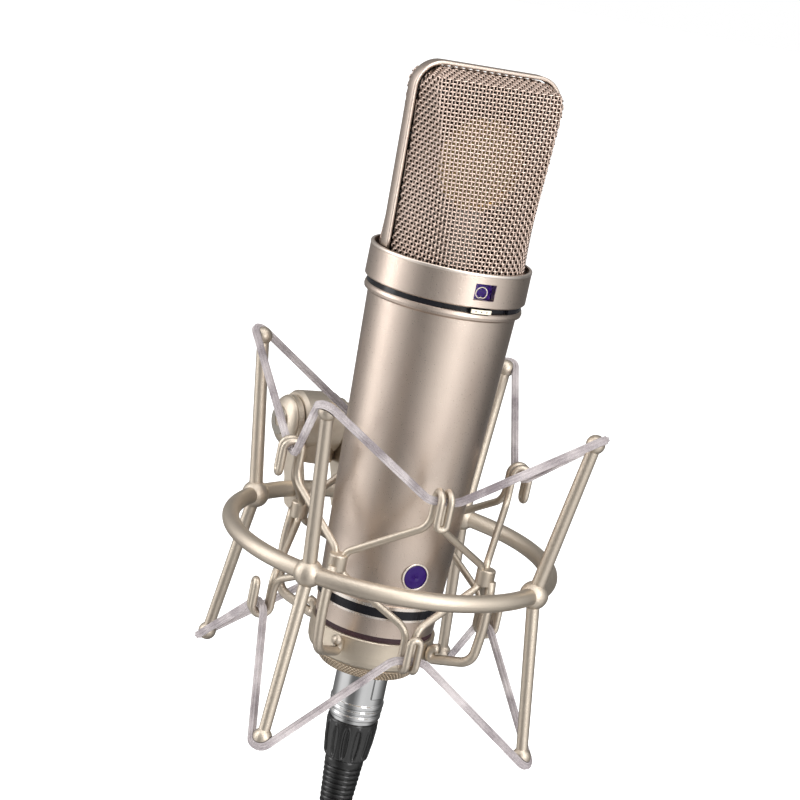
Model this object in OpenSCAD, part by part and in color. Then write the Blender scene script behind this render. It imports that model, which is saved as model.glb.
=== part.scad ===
// Large-diaphragm condenser microphone in an elastic shock mount, with its lead.
// The microphone's axis is +Z and its front faces -Y. The origin is the mouth of the
// stand thread. Each sub-part is drawn about the microphone's axis and placed by about_axis().

/* [Microphone] */
// Height of the head's top above the rim of the basket's cup
head_top = 200; // [198:0.5:202]
// Outer radius of the head ring
ring_r = 28; // [27.5:0.1:28.5]
// Outer radius of the body tube just under the shoulder
body_r_top = 25.9; // [25.5:0.1:26]
// Outer radius of the body tube at its foot
body_r_foot = 21.9; // [21.7:0.1:22.2]
// Width of the bezel that runs round the head
bezel_w = 5; // [4.5:0.5:6]
// Radius of the capsule
capsule_r = 17; // [15:0.5:17.5]

/* [Shock mount] */
// Radius of the outer ring's centre line
hoop_r = 57; // [56:0.5:58]
// Thickness of the outer ring's rod
hoop_d = 6; // [5:0.2:6.4]
// Angle of the first post about the microphone's axis
post_angle = -54; // [-58:1:-50]
// Thickness of the basket's wires
wire_d = 2.6; // [2.2:0.1:2.7]
// Thickness of the elastic
elastic_d = 3.2; // [2.6:0.1:3.3]

/* [Stand thread] */
// Radius of the thread's crests
thread_r = 7.45; // [7:0.05:7.6]
// Length of the thread
thread_len = 10; // [8:0.5:10]

/* [Lead] */
// Thickness of the lead
lead_d = 6; // [5:0.5:6]

/* [Hidden] */
$fn = 64;

// Fits and gaps
gap = 0.3;
run_fit = 0.05;
slip = 0.1;
eps = 0.01;

// Heights along the microphone
mic_foot = 2.75;
base_top = 9.3;
band_low = 10.1;
band_high = 13.4;
tube_low = 14.6;
tube_high = 118.8;
lip_high = 121.7;
groove_high = 123.7;
ring_step = 132.5;
head_ring_top = 135.5;
grille_foot = 133;
badge_z = 26.4;
window_z = 129.3;
capsule_z = 168;
tube_wall = 1.6;

// Head outline: half width at the foot and at the corners, corner radius, bezel thickness
bezel_half_low = 26.4;
bezel_half_high = 28.3;
corner_r = 10;
bezel_t = 1.4;
corner_z = head_top - corner_r;
grille_t = 0.8;
grille_lap = 1.5;

// Groove under the head ring: strip, carriers and the arcs they take, in degrees
strip_in = 26;
strip_out = 26.9;
carrier_in = 24.8;
carrier_out = 25.8;
tab_out = 28.2;
pattern_throw = 18;
pattern_half = 8;
small_throw = 12;
small_half = 5;
front_opening = 28;
rear_opening = 12;
rear_switches = [60, 120];
drum_out = 25.4;
window_w = 7.8;
window_h = 5.6;

// Shock mount heights and radii
hoop_z = 30.5;
hoop_rod_r = hoop_d / 2;
joint_ball_r = 5;
upper_tip = [69.2, 90];
lower_tip = [68.6, -28.6];
upper_rod_r = 2.2;
lower_rod_r = 2;
tip_r = 3.3;
wrap_r = 3.7;
wrap_reach = 4.4;
hook_r = 42.3;
upper_hook_z = 60.5;
lower_hook_z = 3.3;
sleeve_r = 3.3;
sleeve_at = 38;
sleeve_z = 30.7;
sleeve_half = 3;
pair_at = 36.9;
stem_at = 40.6;
cup_wire_r = 1.75;
wire_r = wire_d / 2;
pair_gap = 1.7;
elastic_r = elastic_d / 2;
hook_angle = post_angle + 45;
wire_sides = 8;

// Swivel: its direction, the distance of its axis and the thread's mouth
swivel_angle = 94;
swivel_r = 70;
swivel_z = 52.5;
neck_len = 13.5;
neck_r = 10.6;
eye_r = 11.6;
dome_r = 13.6;
block_w = 17;
pivot_r = 3;
arm_t = 2.4;
arm_in = block_w / 2 + gap;
mouth = [swivel_r * cos(swivel_angle), swivel_r * sin(swivel_angle), swivel_z - neck_len];

// Basket, nut and connector
cup_r = 22.3;
cup_rim = 0.8;
washer_top = 2.7;
cup_floor = -7.4;
cup_foot = -10.2;
cup_hole_r = 15.4;
nut_sleeve_r = 15.1;
nut_foot = -14.8;
collar_r = 13;
collar_foot = -9;
socket_r = 9.7;
shell_r = 9.35;
shell_top = 7.5;
shell_foot = -36;
core_r = 8.3;
pin_r = 1.2;
pin_ring_r = 4.1;
bushing_foot = -51;
boot_foot = -82;
latch_z = -21.5;
latch_angle = -70;
latch_w = 6;
latch_h = 8;

// Free lead: the coil, and the routes into it and out of it to the end plug
lead_r = lead_d / 2;
coil_z = -170;
coil_in = 30;
coil_out = 54;
coil_half = 15;
lead_route = [
  [0, 0, -82], [0, 0, -86], [1, 1, -92.5], [3.8, 5.6, -101], [8.2, 11.6, -109.2],
  [14, 16.6, -116.4], [21.1, 18.5, -122.5], [29.3, 18.5, -128.2], [37.3, 18.4, -135.2], [43.3, 17, -143],
  [47.6, 14.9, -151.7], [50.2, 12.8, -161.1], [51, 12, -170]
];
tail_route = [
  [-33, 6, -170], [-32.3, 7.2, -162.7], [-30.4, 10.5, -156.4], [-27.5, 15.5, -152], [-24.6, 20.5, -147.6],
  [-22.7, 23.9, -141.3], [-22, 25, -134], [-20.2, 25, -124.8], [-15, 25, -117], [-7.2, 25, -111.8],
  [2, 25, -110], [11.2, 25, -111.8], [19, 25, -117], [24.2, 25, -124.8], [26, 25, -134],
  [26, 25, -140], [26, 25, -146]
];
end_plug_at = [26, 25, -146];
end_boot_len = 24;
end_bushing_len = 14;
end_shell_len = 38;

// ---------- Helpers ----------

module about_axis() { translate(-mouth) children(); }

module at(angle, r = 0, z = 0) { rotate([0, 0, angle]) translate([r, 0, z]) children(); }

module around(angle) { for (k = [0:3]) rotate([0, 0, angle + 90 * k]) children(); }

module ring(r_in, r_out, low, high) {
  rotate_extrude() translate([r_in, low]) square([r_out - r_in, high - low]);
}

module rod(a, b, ra, rb) {
  d = b - a;
  translate(a)
    rotate([0, acos(d.z / norm(d)), atan2(d.y, d.x)])
      cylinder(r1 = ra, r2 = rb, h = norm(d));
}

function polar(angle, r, z) = [r * cos(angle), r * sin(angle), z];
function unit(v) = v / norm(v);
function across(v, along) = unit(v - along * (v * along));
function mix(a, b, t) = a + (b - a) * t;

// A smooth curve through the points p, with n steps between each two
function curve(p, n) = concat(
  [for (i = [0:len(p) - 2])
    let (a = p[max(i - 1, 0)], b = p[i], c = p[i + 1], d = p[min(i + 2, len(p) - 1)])
    for (j = [0:n - 1])
      let (t = j / n)
      b + (c - a) * t / 2 + (2 * a - 5 * b + 4 * c - d) * t * t / 2
        + (3 * b - a - 3 * c + d) * t * t * t / 2],
  [p[len(p) - 1]]);

function heading(p, i) = unit(p[min(i + 1, len(p) - 1)] - p[max(i - 1, 0)]);

// Directions square to the path that turn as little as possible along it
function carried(p, first) = [
  for (i = 0, v = across(first, heading(p, 0)); i < len(p);
       i = i + 1, v = i < len(p) ? across(v, heading(p, i)) : v) v];

function tube_points(p, side, r, sides) = [
  for (i = [0:len(p) - 1])
    let (h = heading(p, i), w = cross(h, side[i]))
    for (k = [0:sides - 1])
      p[i] + r * (side[i] * cos(360 * k / sides) + w * sin(360 * k / sides))];

function wall_faces(rings, sides, closed) = [
  for (i = [0:rings - (closed ? 1 : 2)])
    for (k = [0:sides - 1])
      let (a = i * sides, b = ((i + 1) % rings) * sides, n = (k + 1) % sides)
      each [[a + k, b + k, b + n], [a + k, b + n, a + n]]];

// An open tube along the points p, with flat ends
module sweep(p, r, sides, first) {
  n = len(p);
  polyhedron(
    points = tube_points(p, carried(p, first), r, sides),
    faces = concat(
      wall_faces(n, sides, false),
      [[for (k = [0:sides - 1]) k]],
      [[for (k = [sides - 1:-1:0]) (n - 1) * sides + k]]),
    convexity = 8);
}

// A closed loop round the axis along the points p
module loop_sweep(p, r, sides) {
  n = len(p);
  function run(i) = unit(p[(i + 1) % n] - p[(i + n - 1) % n]);
  function out(i) = across(unit([p[i].x, p[i].y, 0]), run(i));
  polyhedron(
    points = [
      for (i = [0:n - 1])
        let (w = cross(run(i), out(i)))
        for (k = [0:sides - 1])
          p[i] + r * (out(i) * cos(360 * k / sides) + w * sin(360 * k / sides))],
    faces = wall_faces(n, sides, true),
    convexity = 8);
}

// ---------- Head ----------

// Half width inside an edge that runs t inside the bezel's outline
function half_inside(z, t) =
  mix(bezel_half_low, bezel_half_high, min(1, (z - grille_foot) / (corner_z - grille_foot))) - t
  - (z > corner_z ? corner_r - t - sqrt(max(0, (corner_r - t) ^ 2 - (z - corner_z) ^ 2)) : 0);

// The bezel's front view, drawn inset by t
module bezel_outline(t) {
  steps = 12;
  low = grille_foot;
  side = [for (z = [low, corner_z]) [half_inside(z, t), z]];
  corner = [for (a = [90 / steps:90 / steps:90])
    [bezel_half_high - corner_r + (corner_r - t) * cos(a), corner_z + (corner_r - t) * sin(a)]];
  right = concat(side, corner);
  left = [for (i = [len(right) - 1:-1:0]) [-right[i].x, right[i].y]];
  polygon(concat(right, left));
}

module upright(depth) { rotate([90, 0, 0]) linear_extrude(depth, center = true) children(); }

module grille_bezel() {
  about_axis() color("#c9b9a3") {
    difference() {
      upright(bezel_w) bezel_outline(0);
      translate([0, 0, -eps]) upright(bezel_w + 1) bezel_outline(bezel_t);
    }
  }
}

// Depth of the grille in front of the axis at height z, where t runs from -1 to 1 across it
grille_depth_low = 26.2;
grille_depth_high = 10.8;
grille_sag = 1.286;
bevel_z = 195;
grille_top = head_top - bezel_t - 0.1;
fold_low = 0.45;
fold_high = 0.07;
flatness = 0.65;
function grille_deep(z) = z < bevel_z
  ? mix(grille_depth_low, grille_depth_high, ((z - grille_foot) / (bevel_z - grille_foot)) ^ grille_sag)
  : mix(grille_depth_high, bezel_w / 2, (z - bevel_z) / (grille_top - bevel_z));
function grille_form(t, s) =
  mix(sqrt(max(0, 1 - t * t)), min(1, (1 - abs(t)) / mix(fold_low, fold_high, s)), s ^ flatness);
function grille_depth(t, z) =
  bezel_w / 2 + (grille_deep(z) - bezel_w / 2)
  * grille_form(t, min(1, (z - grille_foot) / (bevel_z - grille_foot)));

// The grille's heights and steps across
grille_rows = [grille_foot, 137, 145, 153, 161, 169, 177, 184, 190, bevel_z, 196.8, grille_top - 0.4];
grille_cols = [for (a = [-90:7.5:90]) sin(a)];

// One half of the grille as a thin shell that faces -Y, moved inwards by inset
module grille_shell(inset, t) {
  rows = len(grille_rows);
  cols = len(grille_cols);
  function point(i, j, in) =
    let (z = grille_rows[i], half = half_inside(z, bezel_t + run_fit + in))
    [half * grille_cols[j], -max(grille_depth(grille_cols[j], z) - in, bezel_w / 2 - grille_lap - in / 2),
     z - (i == rows - 1 ? in : 0)];
  outer = [for (i = [0:rows - 1]) for (j = [0:cols - 1]) point(i, j, inset)];
  inner = [for (i = [0:rows - 1]) for (j = [0:cols - 1]) point(i, j, inset + t)];
  n = rows * cols;
  function cell(a, b, c, d) = [[a, b, c], [a, c, d]];
  polyhedron(
    points = concat(outer, inner),
    faces = concat(
      [for (i = [0:rows - 2]) for (j = [0:cols - 2])
        each cell(i * cols + j, (i + 1) * cols + j, (i + 1) * cols + j + 1, i * cols + j + 1)],
      [for (i = [0:rows - 2]) for (j = [0:cols - 2])
        let (a = n + i * cols + j) each cell(a, a + 1, a + cols + 1, a + cols)],
      [for (j = [0:cols - 2]) each cell(j, j + 1, n + j + 1, n + j)],
      [for (j = [0:cols - 2])
        let (a = (rows - 1) * cols + j) each cell(a, n + a, n + a + 1, a + 1)],
      [for (i = [0:rows - 2])
        let (a = i * cols) each cell(a, n + a, n + a + cols, a + cols)],
      [for (i = [0:rows - 2])
        let (a = i * cols + cols - 1) each cell(a, a + cols, n + a + cols, n + a)]),
    convexity = 6);
}

module front_grille() { about_axis() color("#a3937f") grille_shell(0, grille_t); }

module rear_grille() { about_axis() color("#a3937f") rotate([0, 0, 180]) grille_shell(0, grille_t); }

module grille_gauze() {
  about_axis() color("#6b6156") for (a = [0, 180]) rotate([0, 0, a]) grille_shell(1.4, 0.3);
}

// A curved block between two radii, two heights and two angles
module arc_block(r_in, r_out, low, high, from, to) {
  rotate([0, 0, from])
    rotate_extrude(angle = to - from) translate([r_in, low]) square([r_out - r_in, high - low]);
}

module window_hole(depth_from, grow) {
  translate([-window_w / 2 - grow, -ring_r - 1, window_z - window_h / 2 - grow])
    cube([window_w + 2 * grow, ring_r + 1 - depth_from, window_h + 2 * grow]);
}

module head_ring() {
  about_axis() color("#cdbba4") difference() {
    rotate_extrude() polygon([
      [25.6, groove_high], [ring_r - 0.4, groove_high], [ring_r, groove_high + 0.4],
      [ring_r, head_ring_top - 0.5], [ring_r - 0.5, head_ring_top], [26.9, head_ring_top],
      [26.9, ring_step], [25.6, ring_step]]);
    window_hole(10, 0);
  }
}

module indicator_window() {
  about_axis() color("#8a7fa8") intersection() {
    ring(26.1, 26.5, groove_high, ring_step);
    window_hole(10, -0.02);
  }
}

module strip_arc(from, to) { arc_block(strip_in, strip_out, lip_high, groove_high, from, to); }

module groove_strip() {
  about_axis() color("#15151a") {
    strip_arc(-90 + front_opening, rear_switches[0] - rear_opening);
    strip_arc(rear_switches[0] + rear_opening, rear_switches[1] - rear_opening);
    strip_arc(rear_switches[1] + rear_opening, 270 - front_opening);
  }
}

module shoulder_ring() {
  about_axis() color("#c9b79f") rotate_extrude() polygon([
    [22, tube_high], [26.4, tube_high], [27.3, tube_high + 0.7], [27.5, tube_high + 1.6],
    [27.3, lip_high - 0.3], [27, lip_high], [24.6, lip_high], [24.6, groove_high], [22, groove_high]]);
}

module tapered_tube(r_low, r_high, low, high, wall) {
  rotate_extrude() polygon([[r_low - wall, low], [r_low, low], [r_high, high], [r_high - wall, high]]);
}

function body_r(z) = mix(body_r_foot, body_r_top, (z - tube_low) / (tube_high - tube_low));

// A plain round badge in a flat recess in the front of the tube
badge_r = 5;
badge_t = 0.5;
badge_set = 0.6;
module badge_disc(r, from, to) {
  translate([0, -from, badge_z]) rotate([90, 0, 0]) cylinder(r = r, h = to - from);
}

module body_tube() {
  about_axis() color("#c8b69e") difference() {
    tapered_tube(body_r_foot, body_r_top, tube_low, tube_high, tube_wall);
    badge_disc(badge_r, body_r(badge_z) - badge_set, body_r_top);
  }
}

module badge() {
  about_axis() color("#4a2f86")
    badge_disc(badge_r - run_fit, body_r(badge_z) - badge_set, body_r(badge_z) + badge_t);
}

module trim_rings() {
  about_axis() color("#e2d3bd") {
    ring(body_r_foot - tube_wall, body_r_foot + 0.4, band_high, tube_low);
    ring(body_r_foot - tube_wall, body_r_foot + 0.2, base_top, band_low);
  }
}

module base_band() {
  about_axis() color("#141417") ring(body_r_foot - tube_wall, body_r_foot, band_low, band_high);
}

flange_r = 20;
flange_t = 1.6;
module base_section() {
  about_axis() color("#bfae98") tapered_tube(21.3, 21.7, mic_foot, base_top, 21.3 - flange_r);
}

// Collar with the outer thread that the basket's nut takes, and the socket inside it
module threaded_collar() {
  about_axis() color("#a8a29a") difference() {
    union() {
      ring(socket_r, collar_r, collar_foot, mic_foot);
      ring(socket_r, flange_r, mic_foot, mic_foot + flange_t);
      ring(socket_r, 12, mic_foot + flange_t, 16);
    }
    for (z = [collar_foot + 1:1.25:-1]) ring(collar_r - 0.5, collar_r + 1, z, z + 0.5);
  }
}

// ---------- Capsule ----------

module head_plate() {
  about_axis() color("#2b2a2a") difference() {
    ring(6, 26.7, ring_step, grille_foot);
    for (a = [0:3]) at(45 + 90 * a, 18) translate([0, 0, ring_step - 1]) cylinder(r = 1, h = 3);
  }
}

saddle_w = 10;
saddle_d = 12;
saddle_h = 22;
module capsule_saddle() {
  about_axis() color("#d8d4c8") difference() {
    translate([-saddle_w / 2, -saddle_d / 2, grille_foot]) cube([saddle_w, saddle_d, saddle_h]);
    capsule_disc(capsule_r - 1, -saddle_d, saddle_d);
  }
}

// A disc about the capsule's axis, which points to the front
module capsule_disc(r, y_low, y_high) {
  translate([0, y_high, capsule_z]) rotate([90, 0, 0]) cylinder(r = r, h = y_high - y_low);
}

plate_half = 5;
film_t = 0.2;
rim_t = 1.2;
rim_in = capsule_r - 2.5;
capsule_screw_n = 12;
screw_ring_r = rim_in + 0.75;
module capsule_screw_ring() {
  for (k = [0:capsule_screw_n - 1])
    rotate([0, 360 * k / capsule_screw_n, 0])
      translate([screw_ring_r, 0, 0]) children();
}

module capsule_backplate() {
  about_axis() color("#b08b45") capsule_disc(capsule_r - 1, -plate_half, plate_half);
}

module front_diaphragm() {
  about_axis() color("#d9b45a") capsule_disc(rim_in, -plate_half - film_t, -plate_half);
}

module rear_diaphragm() {
  about_axis() color("#d9b45a") capsule_disc(rim_in, plate_half, plate_half + film_t);
}

module capsule_rings() {
  about_axis() color("#c79f4e") for (s = [-1, 1]) difference() {
    capsule_disc(
      capsule_r - 1, s > 0 ? plate_half : -plate_half - rim_t, s > 0 ? plate_half + rim_t : -plate_half);
    capsule_disc(rim_in, -20, 20);
  }
}

module capsule_screws() {
  about_axis() color("#e8d9a8") translate([0, 0, capsule_z]) for (s = [-1, 1]) capsule_screw_ring()
    translate([0, s * (plate_half + rim_t), 0])
      rotate([-90 * s, 0, 0]) cylinder(r = 0.7, h = 0.5, $fn = 24);
}

// ---------- Electronics ----------

rail_x = 15;
rail_t = 2;
rail_half = 4;
board_t = 1.6;
board_low = 52;
board_high = 114;
screw_z = [56, 110];
module chassis_screw_places() {
  for (x = [-1, 1]) for (z = screw_z) for (s = [-1, 1])
    translate([x * (rail_x + rail_t / 2), s * (rail_half + board_t), z]) rotate([s * 90, 0, 0]) children();
}

module chassis_rails() {
  about_axis() color("#9a9890") difference() {
    for (s = [-1, 1]) translate([s > 0 ? rail_x : -rail_x - rail_t, -rail_half, 18])
      cube([rail_t, 2 * rail_half, 99]);
    chassis_screw_places() cylinder(r = 0.6, h = 5, $fn = 24);
  }
}

module circuit_boards() {
  about_axis() color("#2f6b46") difference() {
    for (s = [-1, 1]) translate([-rail_x - rail_t, s > 0 ? rail_half : -rail_half - board_t, board_low])
      cube([2 * (rail_x + rail_t), board_t, board_high - board_low]);
    chassis_screw_places() cylinder(r = 0.6, h = 5, $fn = 24);
  }
}

module chassis_screws() {
  about_axis() color("#c9c9c9") chassis_screw_places() {
    cylinder(r = 0.6, h = 4, $fn = 24);
    translate([0, 0, -0.8]) cylinder(r = 0.95, h = 0.8, $fn = 24);
  }
}

module transformer() {
  about_axis() color("#6b6b6f") translate([-12, -11, 20]) cube([24, 22, 26]);
}

// ---------- Socket ----------

module pin_places() { for (a = [90, 210, 330]) at(a, pin_ring_r) children(); }

module socket_insert() {
  about_axis() color("#1c1c1e") difference() {
    ring(0, socket_r, 8.5, 13);
    pin_places() translate([0, 0, 8]) cylinder(r = pin_r, h = 6);
  }
}

module socket_pins() {
  about_axis() color("#d8b765") pin_places() translate([0, 0, -4]) cylinder(r = pin_r, h = 19);
}

// ---------- Switches ----------

// A tab on a carrier that slides round the groove. The carrier covers the opening at both ends.
tab_gap = 0.15;
module groove_switch(angle, tab_half, carrier_half) {
  low = lip_high + slip;
  high = groove_high - slip;
  arc_block(carrier_in, carrier_out, low, high, angle - carrier_half, angle + carrier_half);
  arc_block(carrier_out, tab_out, low + tab_gap, high - tab_gap, angle - tab_half, angle + tab_half);
}

module pattern_switch() {
  about_axis() color("#d9cdb8") groove_switch(-90, pattern_half, front_opening + pattern_throw + 1);
}

module pattern_drum() {
  about_axis() color("#3c2775")
    arc_block(24.2, drum_out, groove_high + gap, ring_step - gap, -90 - 38, -90 + 38);
}

module pad_switch() {
  about_axis() color("#d9cdb8")
    groove_switch(rear_switches[0] - small_throw / 2, small_half, rear_opening + small_throw / 2 + 1);
}

module low_cut_switch() {
  about_axis() color("#d9cdb8")
    groove_switch(rear_switches[1] - small_throw / 2, small_half, rear_opening + small_throw / 2 + 1);
}

// ---------- Swivel ----------

// Frame at the tilt axis: X away from the microphone, Y along the axis
module at_swivel() { about_axis() at(swivel_angle, swivel_r, swivel_z) children(); }

module along_pivot(r, from, to) { translate([0, to, 0]) rotate([90, 0, 0]) cylinder(r = r, h = to - from); }

module swivel_block() {
  at_swivel() color("#c5b49c") difference() {
    union() {
      intersection() {
        along_pivot(eye_r, -block_w / 2, block_w / 2);
        sphere(r = dome_r);
      }
      translate([0, 0, -neck_len]) cylinder(r1 = neck_r - 0.8, r2 = neck_r, h = neck_len);
    }
    translate([0, 0, -neck_len - 1]) cylinder(r = thread_r, h = thread_len + 1);
    along_pivot(pivot_r, -block_w, block_w);
    for (s = [-1, 1]) translate([-20, s > 0 ? block_w / 2 : -block_w / 2 - 10, -20]) cube([40, 10, 40]);
  }
}

bolt_out = arm_in + arm_t + gap;
knob_len = 9;
bolt_head_r = 5.4;
bolt_head_t = 3.4;
hex_r = 2.6;
hex_depth = 1.4;
module pivot_bolt() {
  at_swivel() color("#b9b4ab") {
    along_pivot(pivot_r, -bolt_out - knob_len + 2, bolt_out);
    difference() {
      along_pivot(bolt_head_r, bolt_out, bolt_out + bolt_head_t);
      translate([0, bolt_out + bolt_head_t + 1, 0]) rotate([90, 0, 0])
        cylinder(r = hex_r, h = hex_depth + 1, $fn = 6);
    }
  }
}

knob_r = 8;
module clamp_knob() {
  at_swivel() color("#bcae98") difference() {
    along_pivot(knob_r, -bolt_out - knob_len, -bolt_out);
    along_pivot(pivot_r + run_fit, -bolt_out - knob_len + 2 - gap, 0);
    for (k = [0:11])
      rotate([0, 30 * k, 0])
        translate([knob_r + 0.6, 0, 0]) along_pivot(1.2, -bolt_out - knob_len - 1, 0);
  }
}

arm_eye = 9.6;
// Side view of a bracket arm: an eye on the tilt axis and a strap down the inside of the ring
module arm_outline() {
  difference() {
    polygon(concat(
      [for (a = [-36:8:180]) [arm_eye * cos(a), arm_eye * sin(a)]],
      [[-10.6, -4], [-13.6, -10], [-17.4, -17], [-18.6, -22], [-17.4, -27], [-14, -29.8]],
      [[-10.4, -29.2], [-8, -26], [-6.4, -20], [-2, -13], [4.5, -8.6]]));
    circle(r = pivot_r + run_fit);
  }
}

module bracket_arms() {
  color("#bba98f") difference() {
    at_swivel() for (s = [-1, 1])
      translate([0, s > 0 ? arm_in + arm_t : -arm_in, 0])
        rotate([90, 0, 0])
          linear_extrude(arm_t) arm_outline();
    about_axis() translate([0, 0, hoop_z]) rotate_extrude() translate([hoop_r, 0]) circle(r = hoop_rod_r);
  }
}

// ---------- Outer cage ----------

module outer_ring() {
  about_axis() color("#c4b196") {
    translate([0, 0, hoop_z]) rotate_extrude($fn = 96) translate([hoop_r, 0]) circle(r = hoop_rod_r);
    around(post_angle) translate([hoop_r, 0, hoop_z]) sphere(r = joint_ball_r);
  }
}

// Where the elastic bends over a post: its lean outwards and half the angle between its two legs
under_hook = 5.2;
hook_x = (hook_r + under_hook) * cos(45);
hook_y = (hook_r - under_hook) * sin(45);
function lean(tip, z) = unit([tip.x - hook_x, tip.y - z]);
function half_angle(tip, z) = atan(hook_y / (norm([tip.x - hook_x, tip.y - z]) + wrap_reach));

// The path of the elastic over a post's end, about the centre of its bend
module elastic_seat(half) {
  seat_r = elastic_r + run_fit;
  turn = 90 - half;
  rotate([0, 0, -turn]) rotate_extrude(angle = 2 * turn) translate([wrap_r, 0]) circle(r = seat_r);
  for (s = [-1, 1])
    rotate([0, 0, s * turn])
      translate([wrap_r, 0, 0])
        rotate([-90 * s, 0, 0]) cylinder(r = seat_r, h = 2 * tip_r);
}

// A post from the ring's ball to its round end, with a groove that the elastic lies in
module post(tip, r, z) {
  joint = [hoop_r, 0, hoop_z];
  out = lean(tip, z);
  head = [tip.x - wrap_r * out.x, 0, tip.y - wrap_r * out.y];
  difference() {
    union() {
      rod(joint, head, r + 0.3, r);
      translate(head) sphere(r = tip_r);
    }
    translate(joint) sphere(r = joint_ball_r);
    translate(head) rotate([0, -atan2(out.y, out.x), 0]) elastic_seat(half_angle(tip, z));
  }
}

module upper_posts() {
  about_axis() color("#bfac91") around(post_angle) post(upper_tip, upper_rod_r, upper_hook_z);
}

module lower_posts() {
  about_axis() color("#bfac91") around(post_angle) post(lower_tip, lower_rod_r, lower_hook_z);
}

// The path with its corners rounded: cuts[i] is how far before corner i the arc starts
function rounded(p, cuts, n) = concat(
  [p[0]],
  [for (i = [1:len(p) - 2])
    let (u = unit(p[i] - p[i - 1]), v = unit(p[i + 1] - p[i]), turn = acos(u * v),
         r = cuts[i] / tan(turn / 2), side = across(v, u), c = p[i] - u * cuts[i] + side * r)
    for (k = [0:n]) c + r * (u * sin(turn * k / n) - side * cos(turn * k / n))],
  [p[len(p) - 1]]);

function rounded_loop(p, cuts, n) = [
  for (i = [0:len(p) - 1])
    let (a = p[(i + len(p) - 1) % len(p)], b = p[(i + 1) % len(p)],
         u = unit(p[i] - a), v = unit(b - p[i]), turn = acos(u * v),
         r = cuts[i] / tan(turn / 2), side = across(v, u), c = p[i] - u * cuts[i] + side * r)
    for (k = [0:n]) c + r * (u * sin(turn * k / n) - side * cos(turn * k / n))];

// One closed elastic: over each tip and through each hook in turn
function hook_side(k, z, s) =
  let (a = hook_angle + 90 * k) polar(a, hook_r, z) + s * under_hook * [-sin(a), cos(a), 0];
function elastic_corners(tip, z) =
  let (reach = wrap_r / sin(half_angle(tip, z)) - wrap_r, top = tip + lean(tip, z) * reach)
  [for (k = [0:3])
    each [hook_side(k, z, -1), hook_side(k, z, 1), polar(hook_angle + 45 + 90 * k, top.x, top.y)]];
function elastic_cuts(tip, z) = [for (k = [0:3]) each [2.4, 2.4, wrap_r / tan(half_angle(tip, z))]];

module elastic_loop(tip, z) {
  loop_sweep(rounded_loop(elastic_corners(tip, z), elastic_cuts(tip, z), 6), elastic_r, wire_sides);
}

module upper_elastic() {
  about_axis() color("#bdb2b4")
    elastic_loop(upper_tip, upper_hook_z);
}

module lower_elastic() {
  about_axis() color("#bdb2b4")
    elastic_loop(lower_tip, lower_hook_z);
}

// ---------- Basket ----------

// One wire from sleeve to sleeve by way of a hook: up from the left sleeve, over the arch, down
// the outside, back up and down to the right sleeve. way is 1 for upper hooks, -1 for lower ones.
hook_leg = elastic_r + gap + wire_r;
outer_leg = 12;
function hook_wire(z, way) =
  let (top = z + way * hook_leg, turn = 45 - atan(pair_gap / pair_at),
       low_leg = z - way * 10, in_r = hook_r - hook_leg, out_r = hook_r + hook_leg,
       half = [
         polar(-turn, pair_at, sleeve_z + way), polar(-turn, pair_at, sleeve_z + way * (sleeve_half + 0.8)),
         [in_r, -pair_gap, low_leg], [in_r, -pair_gap, top], [out_r, -pair_gap, top],
         [out_r, -pair_gap, top - way * outer_leg]])
  concat(half, [for (i = [len(half) - 1:-1:0]) [half[i].x, -half[i].y, half[i].z]]);
hook_cuts = [0, 2.2, 4, hook_leg, hook_leg, pair_gap, pair_gap, hook_leg, hook_leg, 4, 2.2, 0];

module hook_wires(z, way) {
  around(hook_angle) sweep(rounded(hook_wire(z, way), hook_cuts, 4), wire_r, wire_sides, [1, 0, 0]);
}

module upper_lattice() { about_axis() color("#b5a183") hook_wires(upper_hook_z, 1); }

module lower_lattice() { about_axis() color("#b5a183") hook_wires(lower_hook_z, -1); }

module lattice_sleeves() {
  about_axis() color("#b5a183") around(post_angle)
    translate([sleeve_at, 0, sleeve_z - sleeve_half]) cylinder(r = sleeve_r, h = 2 * sleeve_half);
}

// A wire from a sleeve down, in to the cup's wall that it is welded to, and back in a tight hook
cup_wire_in = cup_r + cup_wire_r - 0.1;
cup_wire_bend = -0.8;
cup_wire_foot = -5;
hook_up = -1;
hook_out = 3;
curl = 1.85;
cup_wire_path = [
  [stem_at, 0, sleeve_z - 1], [stem_at + 1.2, 0, 16], [stem_at - 0.6, 0, cup_wire_bend],
  [cup_wire_in, 0, cup_wire_foot], [cup_wire_in, 0, hook_up],
  [cup_wire_in + hook_out, 0, hook_up + 1]];
module cup_wires() {
  about_axis() color("#b5a183") around(post_angle)
    sweep(rounded(cup_wire_path, [0, 8, 4.5, curl, curl, 0], 5), cup_wire_r, wire_sides, [0, 1, 0]);
}

module basket_cup() {
  about_axis() color("#bda984") rotate_extrude() polygon([
    [cup_hole_r, cup_foot], [20, cup_foot], [21.4, cup_foot + 1.1], [22.1, cup_foot + 2.8], [cup_r, -5],
    [cup_r, cup_rim - 0.3], [cup_r - 0.3, cup_rim], [cup_r - 2, cup_rim], [cup_r - 2, cup_floor],
    [cup_hole_r, cup_floor]]);
}

module cup_washer() { about_axis() color("#3a1f26") ring(13.6, 21, cup_rim, washer_top); }

module knurled_nut() {
  about_axis() color("#b39b76") rotate_extrude() polygon([
    [10, nut_foot], [16.3, nut_foot], [17, nut_foot + 0.5], [19.5, cup_foot - 1], [19.7, cup_foot - gap],
    [nut_sleeve_r, cup_foot - gap], [nut_sleeve_r, -2], [collar_r + run_fit, -2],
    [collar_r + run_fit, collar_foot - gap], [10, collar_foot - gap]]);
}

module nut_retainer() {
  about_axis() color("#8f8f8f") ring(nut_sleeve_r, 17.2, cup_floor + gap, cup_floor + 1.5);
}

// ---------- Plug ----------

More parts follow.
